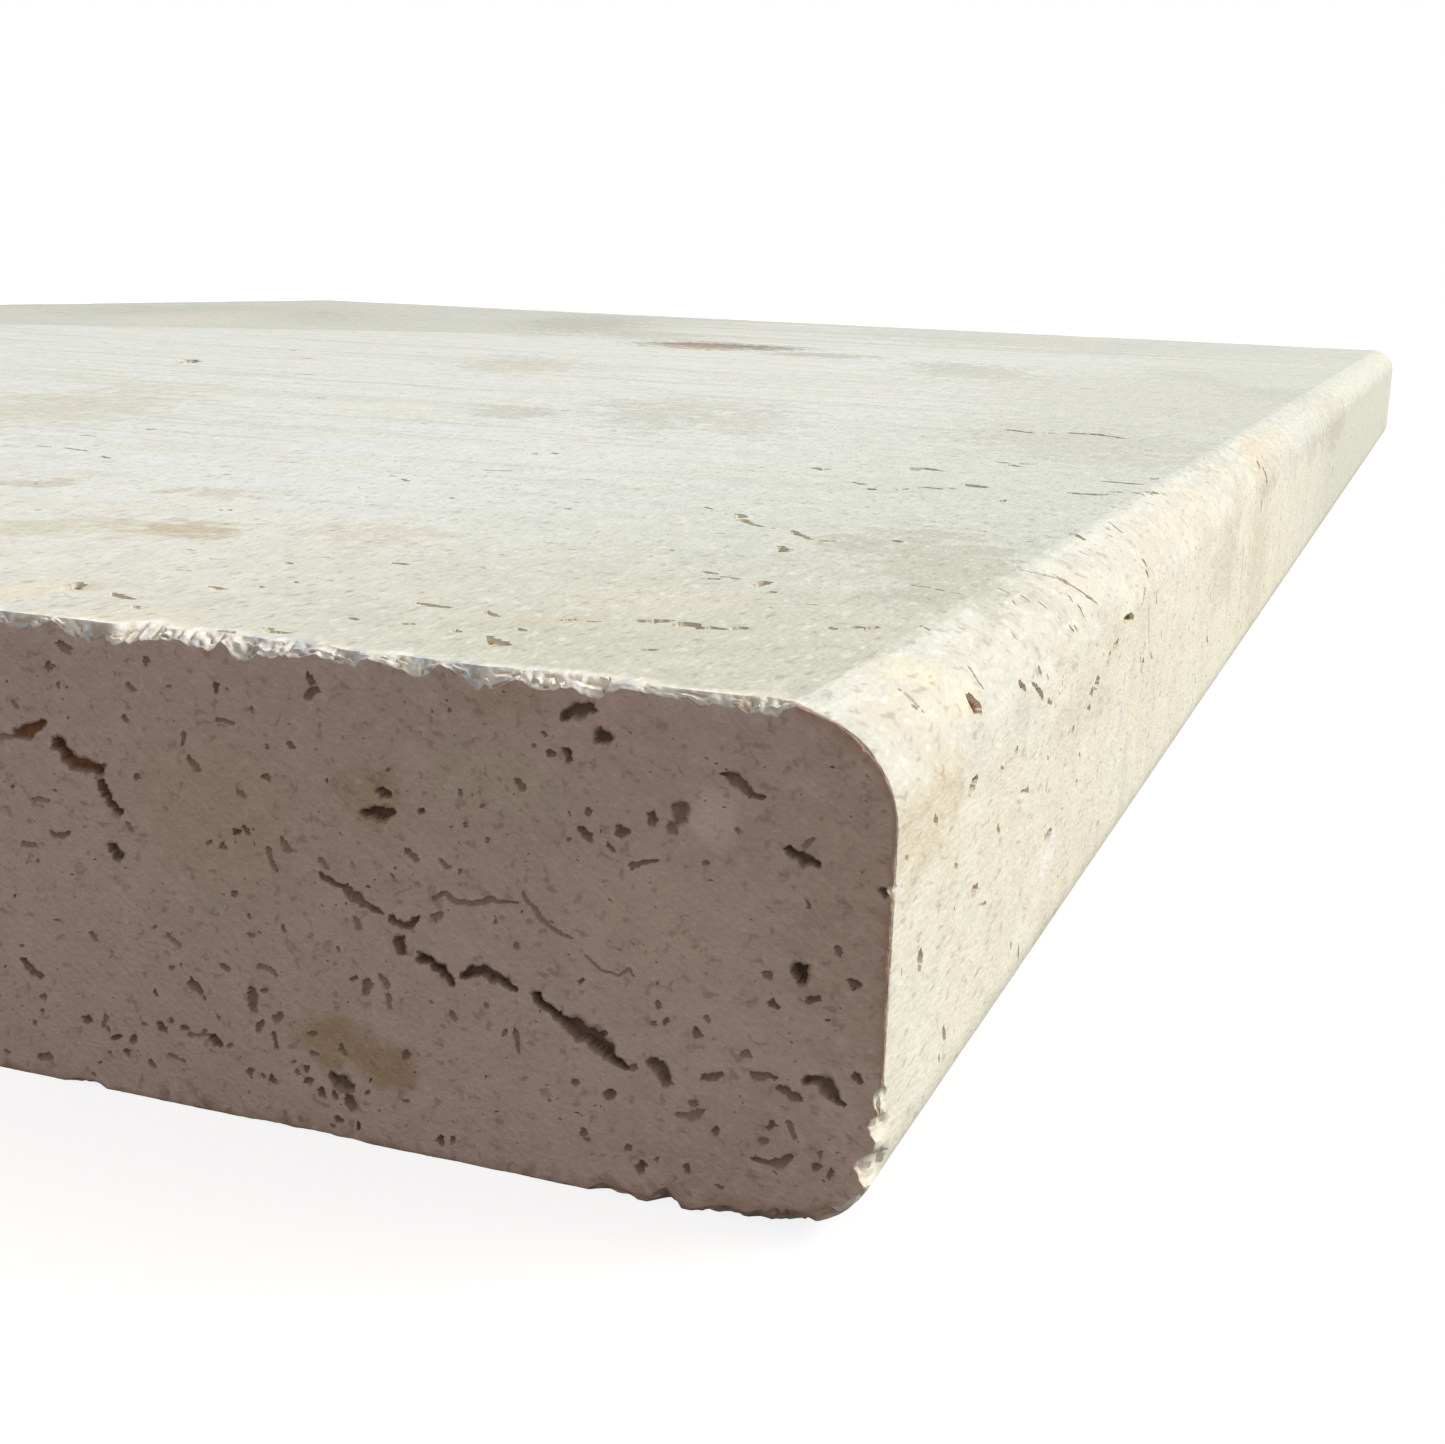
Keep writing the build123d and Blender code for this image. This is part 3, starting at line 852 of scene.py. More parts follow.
def band_cavities():
    """Every cavity of the faces round the slab."""
    found = shown_band_cavities()
    margin = 1.5
    s_low, s_high = MARKS["top_start"] + margin, MARKS["bottom_start"]
    in_view = top_s(60)

    def beds(s, y):
        return ease(lattice_noise([y + 0.12 * s], [s / 60], 7.0, SEED + 21)[0], -0.1, 0.8)

    def even(s, y):
        return 1.0

    near = NEAR_Y + margin
    far = FAR_Y - margin
    for i, (count, s_from, s_to, until, radii, stretch, spread, keep) in enumerate([
            (330, in_view, s_high, NEAR_Y + 90, (0.09, 0.30), 5, 18, even),
            (330, s_low, s_high, far, (0.2, 0.8), 8, 12, beds),
            (150, s_high + 2, MARKS["bottom_end"] - 2, far, (0.3, 1.1), 6, 14, beds),
            (24, MARKS["back_bottom"] + 2, GIRTH - 2, far, (0.3, 1.0), 4, 14, even),
            (24, 2, MARKS["back_top"] - 1, far, (0.3, 1.0), 4, 14, even)]):
        found += scattered(count, (s_from, near), (s_to, until), radii, stretch, (0, spread),
                           SEED + 1 + i, keep)
    for mark, seed in (("back_top", 6), ("back_bottom", 7)):
        middle = MARKS[mark] + (0.3 if mark == "back_top" else -0.3)
        rng = np.random.default_rng(SEED + seed)
        for y in rng.uniform(NEAR_Y + 6, FAR_Y - 6, 40):
            radius = rng.uniform(0.5, 1.4)
            path = [(middle, y - radius * 0.6, radius * 0.7), (middle, y + radius, radius)]
            found.append(Cavity(path, radius * 0.45, plain=True))
    return found


def end_cavities(near):
    """Every cavity of one sawn end."""
    margin = 1.2
    lowest, highest = (-HALF_WIDTH + margin, margin), (HALF_WIDTH - margin, THICKNESS - margin)

    def in_view(x, z):
        return 1.0 if x > VIEW_X + 2 else 0.0

    def out_of_view(x, z):
        beds = lattice_noise([x], [z], 14.0, SEED + 31)[0]
        return float(ease(beds, -0.6, 0.7)) * (0.0 if near and x > VIEW_X + 3 else 1.0)

    if near:
        found = shown_end_cavities()
        found += scattered(260, (VIEW_X + 2, margin), highest, (0.07, 0.13), 2.5, (-25, 40),
                           SEED + 8, in_view)
        found += scattered(340, lowest, highest, (0.12, 0.45), 5, (-25, 35), SEED + 9,
                           out_of_view)
        return found
    return scattered(220, lowest, highest, (0.2, 0.6), 5, (25, 35), SEED + 10, out_of_view)


# The stone's surface, face by face


def warp(points, still):
    """Bends outlines a little, except where still is 0."""
    amount = still[:, None] * np.stack([
        0.10 * lattice_noise(points[:, 0], points[:, 1], 0.5, SEED + 60 + axis)
        + 0.20 * lattice_noise(points[:, 0], points[:, 1], 2.6, SEED + 62 + axis)
        for axis in (0, 1)], axis=1)
    return points + amount


def clear_of(points, cavities):
    """The points that lie outside every cavity's rim."""
    clear = np.ones(len(points), bool)
    for cavity in cavities:
        clearance = 1.8 if cavity.rimmed else 1.4
        lowest, highest = cavity.box(clearance)
        chosen = np.flatnonzero((points > lowest).all(1) & (points < highest).all(1))
        clear[chosen[cavity.closeness(points[chosen]) < clearance]] = False
    return points[clear]


def faced(outline, points, cavities, kept, finest, lines=()):
    """Mesh of a face with its hollows: flat points, triangles and what fields() gives.

    kept(points) drops the added points that lie too near the face's rim.
    """
    flat, triangles = triangulate(outline, points, lines)
    extra = kept(rim_points(flat, triangles, cavities, finest))
    flat, triangles = triangulate(outline, np.concatenate([points, extra]), lines)
    return flat, triangles, fields(flat, cavities)


def band_surface(near_rim, far_rim):
    """The faces round the slab: points, triangles and surface values."""
    cavities = band_cavities()
    (near_s, near_recess), (far_s, far_recess) = near_rim, far_rim
    seam_y = np.linspace(NEAR_Y + near_recess[0], FAR_Y - far_recess[0], 90)[1:-1]
    outline = [(s, NEAR_Y + r) for s, r in zip(near_s, near_recess)]
    outline += [(GIRTH, y) for y in seam_y]
    outline += [(s, FAR_Y - r) for s, r in zip(far_s[::-1], far_recess[::-1])]
    outline += [(0.0, y) for y in seam_y[::-1]]

    def rim_gap(s, y):
        """Distance from the nearer end's rim."""
        return np.minimum(y - NEAR_Y - np.interp(s, near_s, near_recess),
                          FAR_Y - np.interp(s, far_s, far_recess) - y)

    def spacing(s, y):
        near = np.hypot(np.maximum(0, 250 - s) * 0.4, y - NEAR_Y)
        return np.clip(0.9 + near * 0.05, 0.9, 14)

    def on_round(s):
        upper = (s > MARKS["quirk"] - 0.6) & (s < MARKS["side_top"] + 0.4)
        lower = (s > MARKS["side_bottom"] - 0.4) & (s < MARKS["bottom_start"] + 0.6)
        back = (np.abs(s - MARKS["back_top"]) < 1.0) | (np.abs(s - MARKS["back_bottom"]) < 1.0)
        return upper | lower | back

    loose = graded_points((1.0, NEAR_Y), (GIRTH - 1.0, FAR_Y), spacing, SEED + 70)
    loose = loose[(rim_gap(*loose.T) > 0.35) & ~on_round(loose[:, 0])]
    columns = [NEAR_Y + 2.2]
    while columns[-1] < FAR_Y - 5:
        columns.append(columns[-1] + min(0.9 + (columns[-1] - NEAR_Y) * 0.03, 3.4))
    rounds = [(s, y)
              for start, end in (("upper_round", "side_top"), ("side_bottom", "bottom_start"))
              for s in np.linspace(MARKS[start], MARKS[end], 13)[1:-1] for y in columns]
    loose = clear_of(np.concatenate([loose, rounds]), cavities)

    creases = []
    for s in [ROUND_EDGE] + [MARKS[name] for name in CREASES]:
        fine = s > MARKS["quirk"] - 1 and s < MARKS["bottom_start"] + 1
        ends = (NEAR_Y + np.interp(s, near_s, near_recess),
                FAR_Y - np.interp(s, far_s, far_recess))
        inner = columns if fine else np.arange(NEAR_Y + 6, FAR_Y - 4, 6.0)
        creases.append([(s, y) for y in (ends[0], *inner, ends[1])])

    def kept(points):
        s, y = points.T
        return points[(rim_gap(s, y) > 0.2) & (s > 0.5) & (s < GIRTH - 0.5)]

    def finest(points):
        away = np.hypot(np.maximum(0, 330 - points[:, 0]), points[:, 1] - NEAR_Y)
        return np.clip(0.10 + away * 0.002, 0.1, 0.6)

    rings = kept(np.concatenate([cavity.points() for cavity in cavities]))
    flat, triangles, (depth, hollow, stain) = faced(
        outline, np.concatenate([loose, rings]), cavities, kept, finest, creases)
    s, y = flat.T
    gap = rim_gap(s, y)
    inner = ease(gap, 0.02, 0.3)
    crease_gap = np.min([np.abs(s - mark) for mark in (0, *MARKS.values())], axis=0)
    depth, hollow, stain = depth * inner, hollow * inner, stain * inner
    bent = warp(flat, ease(gap, 0.2, 1.2) * ease(crease_gap, 0.05, 0.8))
    spots, normals = fold(bent[:, 0])
    xz = spots - normals * depth[:, None]
    sawn = (s > MARKS["bottom_start"]) | (s < MARKS["back_top"])
    patchy = 0.5 + 0.5 * lattice_noise(s, y, 1.6, SEED + 66)
    worn = (s > MARKS["top_start"]) & (s < MARKS["quirk"] - 1)
    broken = worn * (1 - ease(gap, 0.1, 0.7 + 1.6 * patchy))
    values = np.column_stack([hollow, stain, broken, sawn])
    return np.column_stack([xz[:, 0], bent[:, 1], xz[:, 1]]), triangles, values


def end_surface(s, drop, near):
    """One sawn end: points, triangles and surface values."""
    cavities = end_cavities(near)
    spots, normals = fold(s)
    rim = (spots - normals * drop[:, None])[:-1]

    def rim_gap(points):
        """Distance from the nearest point of the rim, worked out block by block."""
        nearest = np.full(len(points), np.inf)
        for start in range(0, len(points), 2000):
            block = points[start:start + 2000]
            away = block[:, None] - rim
            nearest[start:start + 2000] = np.hypot(away[..., 0], away[..., 1]).min(1)
        return nearest

    def inside(points):
        """Whether each point lies within the rim, by the sides that a ray from it crosses."""
        x, z = points.T
        odd = np.zeros(len(points), bool)
        for (x0, z0), (x1, z1) in zip(rim, np.roll(rim, -1, axis=0)):
            crosses = (z0 > z) != (z1 > z)
            if z1 != z0:
                odd ^= crosses & (x < (x1 - x0) * (z - z0) / (z1 - z0) + x0)
        return odd

    def spacing(x, z):
        if not near:
            return np.full(len(x), 5.0)
        return np.clip(0.8 + np.maximum(0, VIEW_X - x) * 0.06, 0.8, 6)

    def kept(points):
        points = points[inside(points)]
        return points[rim_gap(points) > 0.12]

    def finest(points):
        if not near:
            return np.full(len(points), 0.5)
        return np.where(points[:, 0] > VIEW_X, 0.08, 0.4)

    loose = graded_points((-HALF_WIDTH, 0.0), (HALF_WIDTH, THICKNESS), spacing, SEED + 80)
    rings = [cavity.points() for cavity in cavities]
    points = kept(np.concatenate([clear_of(loose, cavities), *rings]))
    flat, triangles, (depth, hollow, stain) = faced(rim, points, cavities, kept, finest)
    gap = rim_gap(flat)
    inner = ease(gap, 0.02, 0.25)
    depth, hollow, stain = depth * inner, hollow * inner, stain * inner
    bent = warp(flat, ease(gap, 0.1, 1.0))
    if not near:
        triangles = triangles[:, ::-1]
    y = NEAR_Y + depth if near else FAR_Y - depth
    values = np.column_stack([hollow, stain, np.zeros(len(flat)), np.ones(len(flat))])
    return np.column_stack([bent[:, 0], y, bent[:, 1]]), triangles, values


def strip_surface(rows, humps, s, near):
    """The broken arris between the long faces and one end."""
    count = rows.shape[1]
    a = (np.arange(len(rows) - 1)[:, None] * count + np.arange(count - 1)).ravel()
    b, c, d = a + 1, a + count, a + count + 1
    triangles = np.concatenate([np.column_stack([a, c, d]), np.column_stack([a, d, b])])
    if not near:
        triangles = triangles[:, ::-1]
    share = np.repeat(np.linspace(0, 1, len(rows)), count)
    across = np.tile(s, len(rows))
    deep = np.tile(np.linalg.norm(rows[0] - rows[-1], axis=1) > DEEP_LOSS, len(rows))
    half_round = MARKS["side_bottom"] + 5       # down to the middle of the lower round
    worn = ((across > MARKS["top_start"]) & (across < MARKS["quirk"])
            | deep & (across < half_round))
    broken = np.where(worn & (share < 0.95), 1.0, 0.0)
    dented = worn & (across <= MARKS["quirk"]) & (share > 0.05) & (share < 0.95)
    # The dents between the humps get some hollowness, darkening the crystals there to a pore's rim
    # colour: partly a browner tone in the notches, partly painted shade in them
    gaps = 0.3 * (1 - ease(humps.ravel(), 0.1, 0.4)) * dented
    toned = ease(share, 0.1, 0.5) * np.where(worn, 0.0, 0.9)
    return rows.reshape(-1, 3), triangles, np.column_stack([gaps, toned, broken, share])


VALUE_NAMES = ("hollow", "stain", "broken", "sawn")


def stone_mesh():
    """The whole surface as one closed mesh in metres, with its surface values."""
    surfaces, rims = [], []
    for near in (True, False):
        s = girth_samples(near)
        drop, recess = arris_losses(s, near)
        surfaces.append(strip_surface(*arris_strip(s, drop, recess, near), s, near))
        surfaces.append(end_surface(s, drop, near))
        rims.append((s, recess))
    surfaces.append(band_surface(*rims))

    points, triangles, values, start = [], [], [], 0
    for some_points, some_triangles, some_values in surfaces:
        points.append(some_points)
        triangles.append(some_triangles + start)
        values.append(some_values)
        start += len(some_points)
    points, triangles, values = (np.concatenate(group) for group in (points, triangles, values))

    # Points of two surfaces at the same place become one; the offset keeps whole
    # numbers away from the cells' borders
    offset = 0.0013
    _, first, same = np.unique(np.round((points + offset) / WELD).astype(int), axis=0,
                               return_index=True, return_inverse=True)
    same = same.ravel()
    triangles = same[triangles]
    distinct = (triangles != np.roll(triangles, 1, axis=1)).all(1)
    mesh = bpy.data.meshes.new("travertine_coping")
    mesh.from_pydata((points[first] * MM).tolist(), [], triangles[distinct].tolist())
    for i, name in enumerate(VALUE_NAMES):
        layer = mesh.attributes.new(name, "FLOAT", "POINT")
        layer.data.foreach_set("value", values[first, i].astype(np.float32))
    mesh.validate()
    mesh.polygons.foreach_set("use_smooth", [True] * len(mesh.polygons))
    mesh.set_sharp_from_angle(angle=math.radians(SHARP_ANGLE))
    return mesh


# Colours and fine relief


def linear(*display):
    """A display colour, 0 to 255, as the linear values that nodes take."""
    return (*(((part / 255 + 0.055) / 1.055) ** 2.4 for part in display), 1.0)


class Graph:
    """Short names for the nodes that materials and the world are made of."""

    def __init__(self, tree):
        self.tree = tree

    def node(self, kind, *inputs, **settings):
        """A node with its settings and its inputs, each a value or another's output."""
        node = self.tree.nodes.new("ShaderNode" + kind)
        for name, value in settings.items():
            setattr(node, name, value)
        for socket, value in inputs:
            if isinstance(value, bpy.types.NodeSocket):
                self.tree.links.new(value, node.inputs[socket])
            else:
                node.inputs[socket].default_value = value
        return node

    def link(self, output, name, socket):
        """Joins an output to a node that was there from the start."""
        self.tree.links.new(output, self.tree.nodes[name].inputs[socket])

    def preset(self, name, *inputs):
        """Values of a node that was there from the start."""
        for socket, value in inputs:
            self.tree.nodes[name].inputs[socket].default_value = value
        return self.tree.nodes[name].outputs[0]

    def math(self, operation, *values):
        return self.node("Math", *enumerate(values), operation=operation).outputs[0]

    def vector(self, operation, *values):
        outputs = self.node("VectorMath", *enumerate(values), operation=operation).outputs
        return outputs["Value" if operation == "LENGTH" else "Vector"]

    def times(self, a, b):
        return self.math("MULTIPLY", a, b)

    def noise(self, place, size, detail, roughness, shift=0.0):
        """Noise from 0 to 1 whose bumps are about size millimetres along x, y and z."""
        scaled = self.node("Mapping", (0, place), (1, (shift, 2 * shift, 3 * shift)),
                           (3, tuple(1 / part for part in size)))
        return self.node("TexNoise", ("Vector", scaled.outputs[0]), ("Scale", 1.0),
                         ("Detail", detail), ("Roughness", roughness)).outputs["Fac"]

    def between(self, value, low, high, top=1.0):
        """0 below low, top above high, smooth between; falling where low is the larger."""
        start, end = (0.0, top) if low < high else (top, 0.0)
        return self.node("MapRange", (0, value), (1, min(low, high)), (2, max(low, high)),
                         (3, start), (4, end), interpolation_type="SMOOTHSTEP").outputs[0]

    def mix(self, share, a, b, blend="MIX"):
        """From a to b by the share; a tuple is a display colour, 0 to 255."""
        a, b = (linear(*part) if isinstance(part, tuple) else part for part in (a, b))
        return self.node("Mix", (0, share), (6, a), (7, b), data_type="RGBA",
                         blend_type=blend).outputs[2]

    def lay(self, colour, tone, *limits):
        """The colour with a tone laid over it where between(*limits) says."""
        return self.mix(self.between(*limits), colour, tone)

    def level(self, value, low, high):
        """Grey from low at 0 to high at 1, to multiply a colour by."""
        return self.node("MapRange", (0, value), (3, low), (4, high)).outputs[0]


SHADER = "Principled BSDF"
SAW_TILT = -38          # slant of the saw marks, in degrees


def new_material(name):
    """A new material and the graph of its nodes."""
    material = bpy.data.materials.new(name)
    material.use_nodes = True
    return material, Graph(material.node_tree)


# Tinted places, by their pixels: the left and right ends and the top and bottom of
# each, its colour and its strength. They go a few millimetres into the stone.
WALK_TINTS = [
    (116, 238, 519, 540, (199, 185, 158), 0.65),    # brown patch
    (132, 226, 525, 533, (196, 180, 156), 0.45),
    # the far pore's dark tint is partly its brown deposit and partly painted shade within it
    (181, 201, 359.4, 362.8, (98, 86, 74), 0.9),    # far dark pore
    (0, 130, 514, 538, (208, 204, 182), 0.6),
    (140, 285, 487, 497, (210, 200, 183), 0.7),
    (-20, 85, 479, 488, (198, 188, 171), 0.7),
    (310, 455, 524, 546, (213, 205, 188), 0.55),
    (-30, 180, 386, 430, (211, 209, 192), 0.7),     # ridged corner
    (600, 700, 403, 432, (200, 201, 192), 0.6),     # grey curls
    (700, 800, 411, 436, (202, 203, 194), 0.55),
    (590, 790, 399, 412, (204, 205, 196), 0.6),
    (470, 560, 405, 420, (200, 200, 190), 0.7),
    (455, 580, 357, 373, (207, 203, 189), 0.7),     # brownish band
    (590, 700, 332, 340, (196, 199, 188), 0.7),
    (760, 880, 353, 357.5, (184, 180, 168), 0.7),   # tail of the rust
    (640, 792, 343, 349.5, (148, 140, 128), 1.0),   # rust
    (660, 740, 345, 349.5, (204, 166, 144), 0.4),
    (910, 1030, 363, 379, (192, 195, 184), 0.7),
    (1160, 1215, 371, 383, (196, 198, 186), 0.6),
    (1240, 1320, 388, 405, (196, 197, 185), 0.7),
    (960, 1210, 424, 462, (204, 205, 195), 0.7),
    # painted shade: this tint darkens the walking face along its edge beside the pool-side round
    (850, 1030, 525, 600, (198, 198, 180), 0.7),    # by the round
    (560, 760, 588, 616, (226, 220, 203), 0.45),
    (8, 62, 578, 602, (238, 227, 202), 0.6),        # cream by a pit
    (66, 114, 576, 594, (206, 188, 162), 0.4),
    (516, 600, 618, 626, (218, 204, 178), 0.45),
    (-10, 230, 610, 638, (234, 226, 202), 0.6),
    (40, 420, 307, 318, (190, 192, 179), 0.6),      # far corner
    (860, 1320, 333, 352, (206, 208, 199), 0.8),
    (990, 1330, 375, 430, (209, 211, 201), 0.6),
    (207, 221, 308, 326, (226, 220, 204), 0.45),    # cream across it
    (520, 640, 315, 333, (186, 189, 177), 0.75),
]
POOL_TINTS = [
    (870, 940, 650, 700, (238, 231, 204), 0.6),     # cream-yellow
    (896, 960, 765, 870, (228, 218, 190), 0.8),     # beige-brown
    (930, 990, 668, 722, (236, 224, 200), 0.6),
    (1212, 1238, 526, 600, (221, 210, 188), 0.55),
    (1247, 1266, 505, 618, (221, 210, 188), 0.55),
    (1246, 1276, 434, 512, (208, 197, 174), 0.6),   # fossil curve
    (1150, 1190, 500, 560, (222, 213, 192), 0.6),
    (1320, 1344, 392, 452, (204, 197, 179), 0.7),
    (1222, 1292, 425, 482, (216, 206, 186), 0.5),
    (1060, 1110, 680, 740, (224, 216, 196), 0.5),
    (1038, 1056, 838, 872, (250, 249, 240), 0.7),   # white crystals
]
END_TINTS = [
    (296, 372, 1006, 1056, (196, 166, 132), 0.75),  # brown stain
    (350, 430, 1034, 1084, (194, 164, 130), 0.8),
    (150, 290, 740, 900, (206, 188, 160), 0.45),
    (330, 400, 765, 830, (194, 172, 138), 0.55),
    (450, 560, 676, 720, (198, 174, 150), 0.6),
    (560, 760, 860, 990, (224, 202, 182), 0.5),
    (600, 880, 1090, 1210, (206, 180, 164), 0.6),
    (690, 740, 790, 835, (236, 212, 198), 0.7),
    (420, 560, 740, 810, (212, 200, 172), 0.45),
    (790, 910, 760, 1090, (204, 180, 160), 0.6),
]
TINT_INTO = 7.0         # how far a tint goes into the stone, in millimetres
TINT_RIM = 1.35, 0.55   # a tint sets in and is full at these shares of its half length


def walk_place(u, v):
    """Where a pixel of the walking face or the pool side lies on the stone.

    Pixels just over the far arris are brought down onto it.
    """
    for lower in np.arange(0.0, 40.0, 0.5):
        try:
            s, y = on_band(u, v + lower)
        except ValueError:
            continue
        (x, z), _ = fold(s)
        return np.array([x, y, z])


def end_place(u, v):
    """Where a pixel of the near end lies on the stone."""
    x, z = on_end(u, v)
    return np.array([x, NEAR_Y, z])


def tint(graph, place, ragged, turn, into, find, row, colour):
    """The colour with one tinted place laid over it; turn is the frame its axes follow."""
    left, right, above, below, tone, strength = row
    across, along = (left + right) / 2, (above + below) / 2
    ends = [turn @ find(*pixel) for pixel in
            ((left, along), (right, along), (across, above), (across, below))]
    middle = sum(ends) / 4
    reach = np.maximum(abs(ends[1] - ends[0]), abs(ends[3] - ends[2])) / 2
    reach[into] = TINT_INTO
    off = graph.vector("MULTIPLY_ADD", place, tuple(1 / reach), tuple(-middle / reach))
    away = graph.vector("LENGTH", off)
    return graph.lay(colour, tone, graph.math("ADD", away, ragged), *TINT_RIM, strength)


def travertine():
    """The stone's material, in object space, with what the mesh's own values say."""
    material, graph = new_material("travertine")

    def value(name):
        return graph.node("Attribute", attribute_name=name).outputs["Fac"]

    def shaken(place, source, amount):
        """The place, moved by up to half the amount in each direction by a noise."""
        moved = graph.vector("MULTIPLY_ADD", source, (amount,) * 3, place)
        return graph.vector("SUBTRACT", moved, (amount / 2,) * 3)

    here = graph.node("VectorMath", (0, graph.node("TexCoord").outputs["Object"]),
                      ("Scale", 1 / MM), operation="SCALE").outputs[0]
    drift, flutter = (graph.node("TexNoise", ("Vector", here), ("Scale", 1 / period),
                                 ("Detail", 1.0)).outputs["Color"] for period in (16, 2))
    bent = shaken(here, drift, 7.0)
    x, y, z = graph.node("SeparateXYZ", (0, bent)).outputs
    true_x, _, true_z = graph.node("SeparateXYZ", (0, here)).outputs

    beds = graph.noise(bent, (120.0, 9.0, 45.0), 3.0, 0.62)
    veins = graph.noise(bent, (40.0, 2.4, 20.0), 2.0, 0.62, 11.0)
    clouds = graph.noise(bent, (26.0, 14.0, 16.0), 2.0, 0.55, 23.0)
    mottle = graph.noise(bent, (2.2, 5.0, 1.8), 2.0, 0.65, 37.0)
    flecks = graph.noise(shaken(here, flutter, 0.8), (0.7, 2.0, 0.6), 1.0, 0.6, 71.0)
    grain = graph.noise(here, (0.38, 0.9, 0.34), 1.0, 0.6, 53.0)
    sawn = value("sawn")

    # Honed faces: creamier by the near end, veined towards the far end
    near = graph.between(y, -235.0, -290.0)
    far = graph.between(y, 60.0, 170.0)
    quiet = graph.between(y, -270.0, -150.0)
    honed = graph.mix(near, (225, 230, 225), (225, 225, 215))
    honed = graph.lay(honed, (225, 221, 208), clouds, 0.5, 0.7, 0.6)
    honed = graph.lay(honed, (213, 215, 207), beds, 0.52, 0.7, 0.8)
    lines = graph.times(graph.between(veins, 0.54, 0.72, 0.7), graph.level(quiet, 0.35, 1.0))
    honed = graph.mix(lines, honed, (204, 201, 190))
    deep = graph.times(far, graph.between(beds, 0.42, 0.6, 0.7))
    honed = graph.mix(deep, honed, (197, 200, 190))
    # Painted shade: the walking face turns a darker grey-green along its edge beside the pool-side
    # round
    beside = graph.times(graph.between(true_x, 125.0, 192.0), graph.level(beds, 0.45, 1.25))
    honed = graph.mix(beside, honed, graph.mix(near, (211, 215, 204), (205, 207, 188)))

    # The far left corner, past a straight edge, is greyer
    corner = graph.times(graph.between(graph.math("SUBTRACT", y, x), 112.0, 121.0),
                         graph.between(x, 20.0, -40.0, 0.8))
    honed = graph.mix(corner, honed, (203, 206, 196))

    # The pool side and its rounds are creamier. Painted shade: the upper half of the round is
    # darker, against the stronger light that falls there. Painted light: a paler band along the
    # round's upper edge
    flared = graph.math("SUBTRACT", true_x, graph.between(y, -304.0, -285.0, 0.8))
    pool = graph.math("MAXIMUM", graph.between(flared, 196.7, 197.1),
                      graph.between(true_z, 29.0, 27.0))
    fair = graph.between(z, 27.5, 22.0)
    cream = graph.mix(fair, (215, 214, 200), (240, 237, 218))
    warmer = graph.mix(fair, (217, 211, 192), (236, 230, 208))
    cream = graph.lay(cream, warmer, clouds, 0.42, 0.62, 0.8)
    cream = graph.lay(cream, (224, 225, 213), true_x, 200.2, 198.4, 0.8)
    cream = graph.mix(graph.times(lines, 0.8), cream, (213, 204, 188))
    cream = graph.lay(cream, (206, 210, 196), y, -110.0, 60.0, 0.65)
    honed = graph.mix(pool, honed, cream)

    # Sawn faces: cloudier and warmer; their pinkish warmth is partly their own tone
    # and partly the warm cast of the shade they lie in, painted in
    rough = graph.lay((223, 199, 188), (216, 195, 181), clouds, 0.42, 0.66, 0.8)
    rough = graph.lay(rough, (226, 203, 191), beds, 0.55, 0.75, 0.5)
    # Painted shade: darker towards the top of the sawn faces, to even out the light that falls more
    # brightly there
    rough = graph.lay(rough, (196, 172, 160), z, 4.0, 30.0, 0.45)

    # Stains and other marks at their own places
    ragged = graph.math("ADD", graph.math("MULTIPLY_ADD", veins, 2.6, -1.3),
                        graph.math("MULTIPLY_ADD", mottle, 2.2, -1.1))
    ahead = np.array(Matrix.Rotation(-math.radians(HEADING), 3, "Z"))
    turned = graph.node("VectorRotate", (0, bent), (3, -math.radians(HEADING)),
                        rotation_type="Z_AXIS").outputs[0]
    for row in WALK_TINTS:
        honed = tint(graph, turned, ragged, ahead, 2, walk_place, row, honed)
    crisp = shaken(shaken(here, drift, 3.0), flutter, 2.0)
    soft = graph.times(ragged, 0.5)
    for row in POOL_TINTS:
        honed = tint(graph, crisp, soft, np.eye(3), 0, walk_place, row, honed)
    for row in END_TINTS:
        rough = tint(graph, crisp, soft, np.eye(3), 1, end_place, row, rough)
    colour = graph.mix(sawn, honed, rough)

    # Fine mottling and flecks
    speckled = graph.times(graph.level(mottle, 0.84, 1.14), graph.level(grain, 0.88, 1.11))
    colour = graph.mix(1.0, colour, speckled, "MULTIPLY")
    dark = graph.times(graph.between(flecks, 0.58, 0.76), graph.level(sawn, 0.42, 0.5))
    colour = graph.mix(dark, colour, graph.mix(sawn, (160, 142, 124), (158, 130, 120)))
    pale = graph.mix(sawn, (240, 240, 233), (224, 204, 190))
    colour = graph.lay(colour, pale, flecks, 0.42, 0.26, 0.5)

    # Broken arris: bright crystals; the bluish grey laid over some of them is partly grey crystal
    # and partly painted blue-grey shade among the crystals
    crystals = graph.lay((253, 252, 247), (240, 236, 222), flecks, 0.36, 0.56)
    crystals = graph.lay(crystals, (200, 204, 210), mottle, 0.5, 0.64, 0.8)
    crystals = graph.lay(crystals, (237, 232, 211), true_x, 186.0, 197.0, 0.7)
    colour = graph.lay(colour, crystals, value("broken"), 0.0, 1.0)

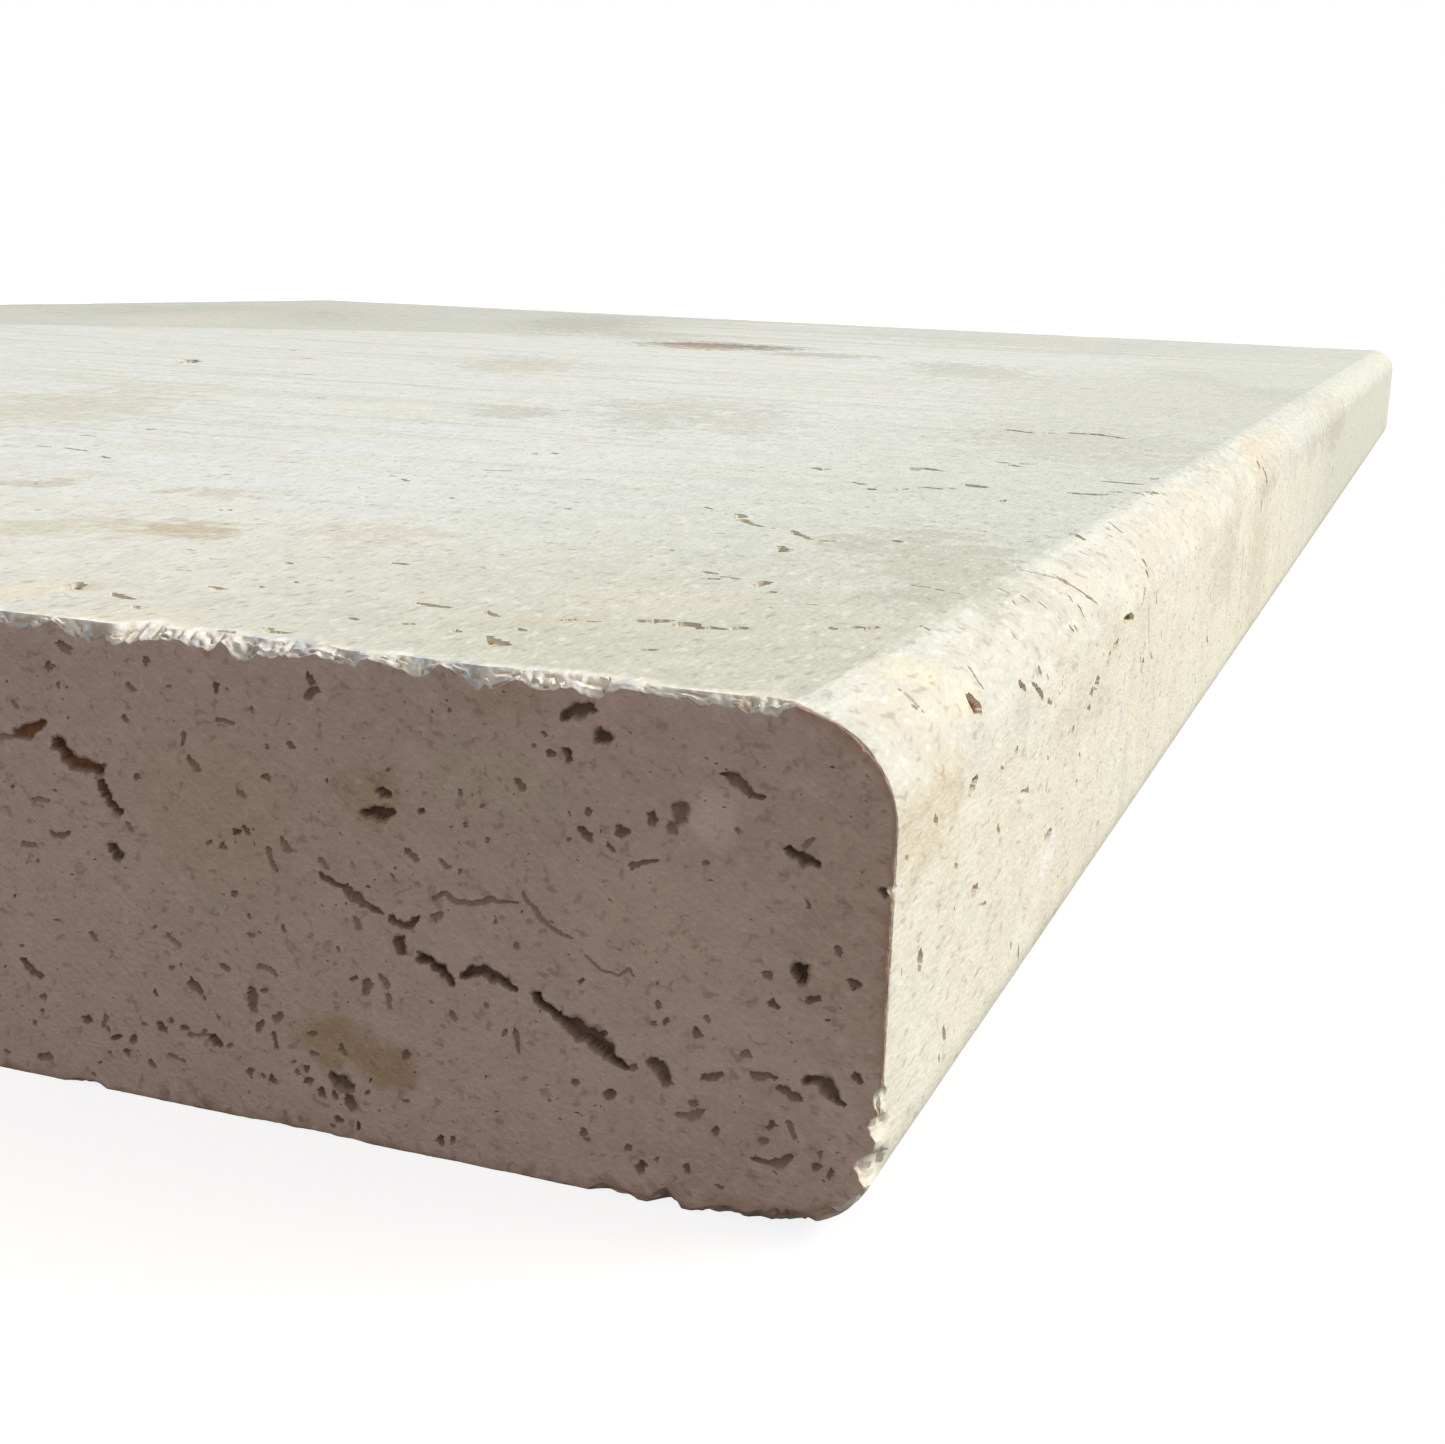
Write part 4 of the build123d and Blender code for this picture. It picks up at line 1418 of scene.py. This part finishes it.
    # Open pores: on honed faces a cream rim, painted light on their walls, and on sawn faces a
    # browner rim; within, a dark brown that is partly a deposit and partly painted shade, darker in
    # deeper pores; some rusty
    hollow, stain = value("hollow"), value("stain")
    rim = graph.mix(sawn, (234, 222, 198), (170, 146, 130))
    core = graph.mix(pool, (96, 80, 66), (130, 102, 76))
    core = graph.mix(sawn, core, (132, 110, 98))
    core = graph.lay(core, (150, 104, 66), stain, 0.1, 0.9)
    colour = graph.lay(colour, rim, hollow, 0.0, 0.25)
    colour = graph.lay(colour, core, hollow, 0.3, 0.85)
    colour = graph.mix(graph.times(stain, 0.5), colour, (164, 118, 84))
    graph.link(colour, SHADER, "Base Color")

    # Relief
    slanted = graph.node("VectorRotate", (0, here), (3, math.radians(SAW_TILT)),
                         rotation_type="Y_AXIS").outputs[0]
    saw = graph.noise(slanted, (40.0, 40.0, 0.4), 1.0, 0.5, 5.0)
    height = graph.math("ADD", grain, graph.times(graph.times(saw, sawn), 0.5))
    bump = graph.node("Bump", ("Height", height), ("Strength", 0.5), ("Distance", 0.12 * MM))
    graph.link(bump.outputs[0], SHADER, "Normal")
    graph.preset(SHADER, ("Roughness", 0.82), ("Specular IOR Level", 0.3))
    return material


def added(name, data):
    """A new object with its data, in the scene."""
    thing = bpy.data.objects.new(name, data)
    bpy.context.scene.collection.objects.link(thing)
    return thing


stone = added("coping_surface", stone_mesh())
stone.data.materials.append(travertine())
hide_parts(NODE)
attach(stone, "root")


# Floor, light and camera

WHITE = (1, 1, 1, 1)


def make_floor():
    """A pale floor that the camera sees as white, a little darker about the stone."""
    reach = 4.0
    mesh = bpy.data.meshes.new("floor")
    corners = [(a * reach, b * reach, 0) for a, b in ((-1, -1), (1, -1), (1, 1), (-1, 1))]
    mesh.from_pydata(corners, [], [(0, 1, 2, 3)])
    material, graph = new_material("floor")
    lit = graph.preset(SHADER, ("Base Color", (0.15, 0.146, 0.142, 1)), ("Roughness", 1.0))
    place = graph.node("NewGeometry").outputs["Position"]
    away = graph.vector("LENGTH", place)
    fade = graph.node("MapRange", (0, away), (1, 0.4), (2, 1.6), (3, 0.85), (4, 1.0)).outputs[0]
    glow = graph.node("Emission", ("Color", WHITE), ("Strength", fade)).outputs[0]
    both = graph.node("AddShader", (0, glow), (1, lit)).outputs[0]
    by_camera = graph.node("LightPath").outputs["Is Camera Ray"]
    seen = graph.node("MixShader", (0, by_camera), (1, lit), (2, both)).outputs[0]
    graph.link(seen, "Material Output", "Surface")
    mesh.materials.append(material)
    added("floor", mesh)


def make_world():
    """Soft warm light from all round, white where it is seen or mirrored."""
    world = bpy.data.worlds.new("studio")
    bpy.context.scene.world = world
    world.use_nodes = True
    graph = Graph(world.node_tree)
    soft = graph.preset("Background", ("Color", (1.0, 0.95, 0.91, 1)), ("Strength", 0.45))
    white = graph.node("Background", ("Color", WHITE), ("Strength", 1.0)).outputs[0]
    path = graph.node("LightPath").outputs
    either = graph.math("MAXIMUM", path["Is Camera Ray"], path["Is Glossy Ray"])
    seen = graph.node("MixShader", (0, either), (1, soft), (2, white)).outputs[0]
    graph.link(seen, "World Output", "Surface")


def make_key():
    """The main light, high beside the pool side."""
    light = bpy.data.lights.new("key", "AREA")
    light.shape = "DISK"
    light.size = 1.9
    light.energy = 173
    light.color = (1.0, 0.99, 0.98)
    key = added("key", light)
    towards = Vector((0.74, 0.27, 0.62)).normalized()
    aim = Vector((0.05, -0.1, 0.02))
    key.location = aim + towards * 4.2
    key.rotation_euler = towards.to_track_quat("Z", "Y").to_euler()


def make_camera():
    """The photograph's camera."""
    data = bpy.data.cameras.new("camera")
    data.sensor_width = SENSOR
    data.lens = LENS
    data.clip_start = 0.005
    data.clip_end = 20
    camera = added("camera", data)
    turn = Matrix([RIGHT, UP, -FORWARD]).transposed()
    camera.matrix_world = Matrix.Translation(Vector(CAMERA_AT * MM)) @ turn.to_4x4()
    bpy.context.scene.camera = camera


make_floor()
make_world()
make_key()
make_camera()
bpy.context.scene.view_settings.view_transform = "Standard"
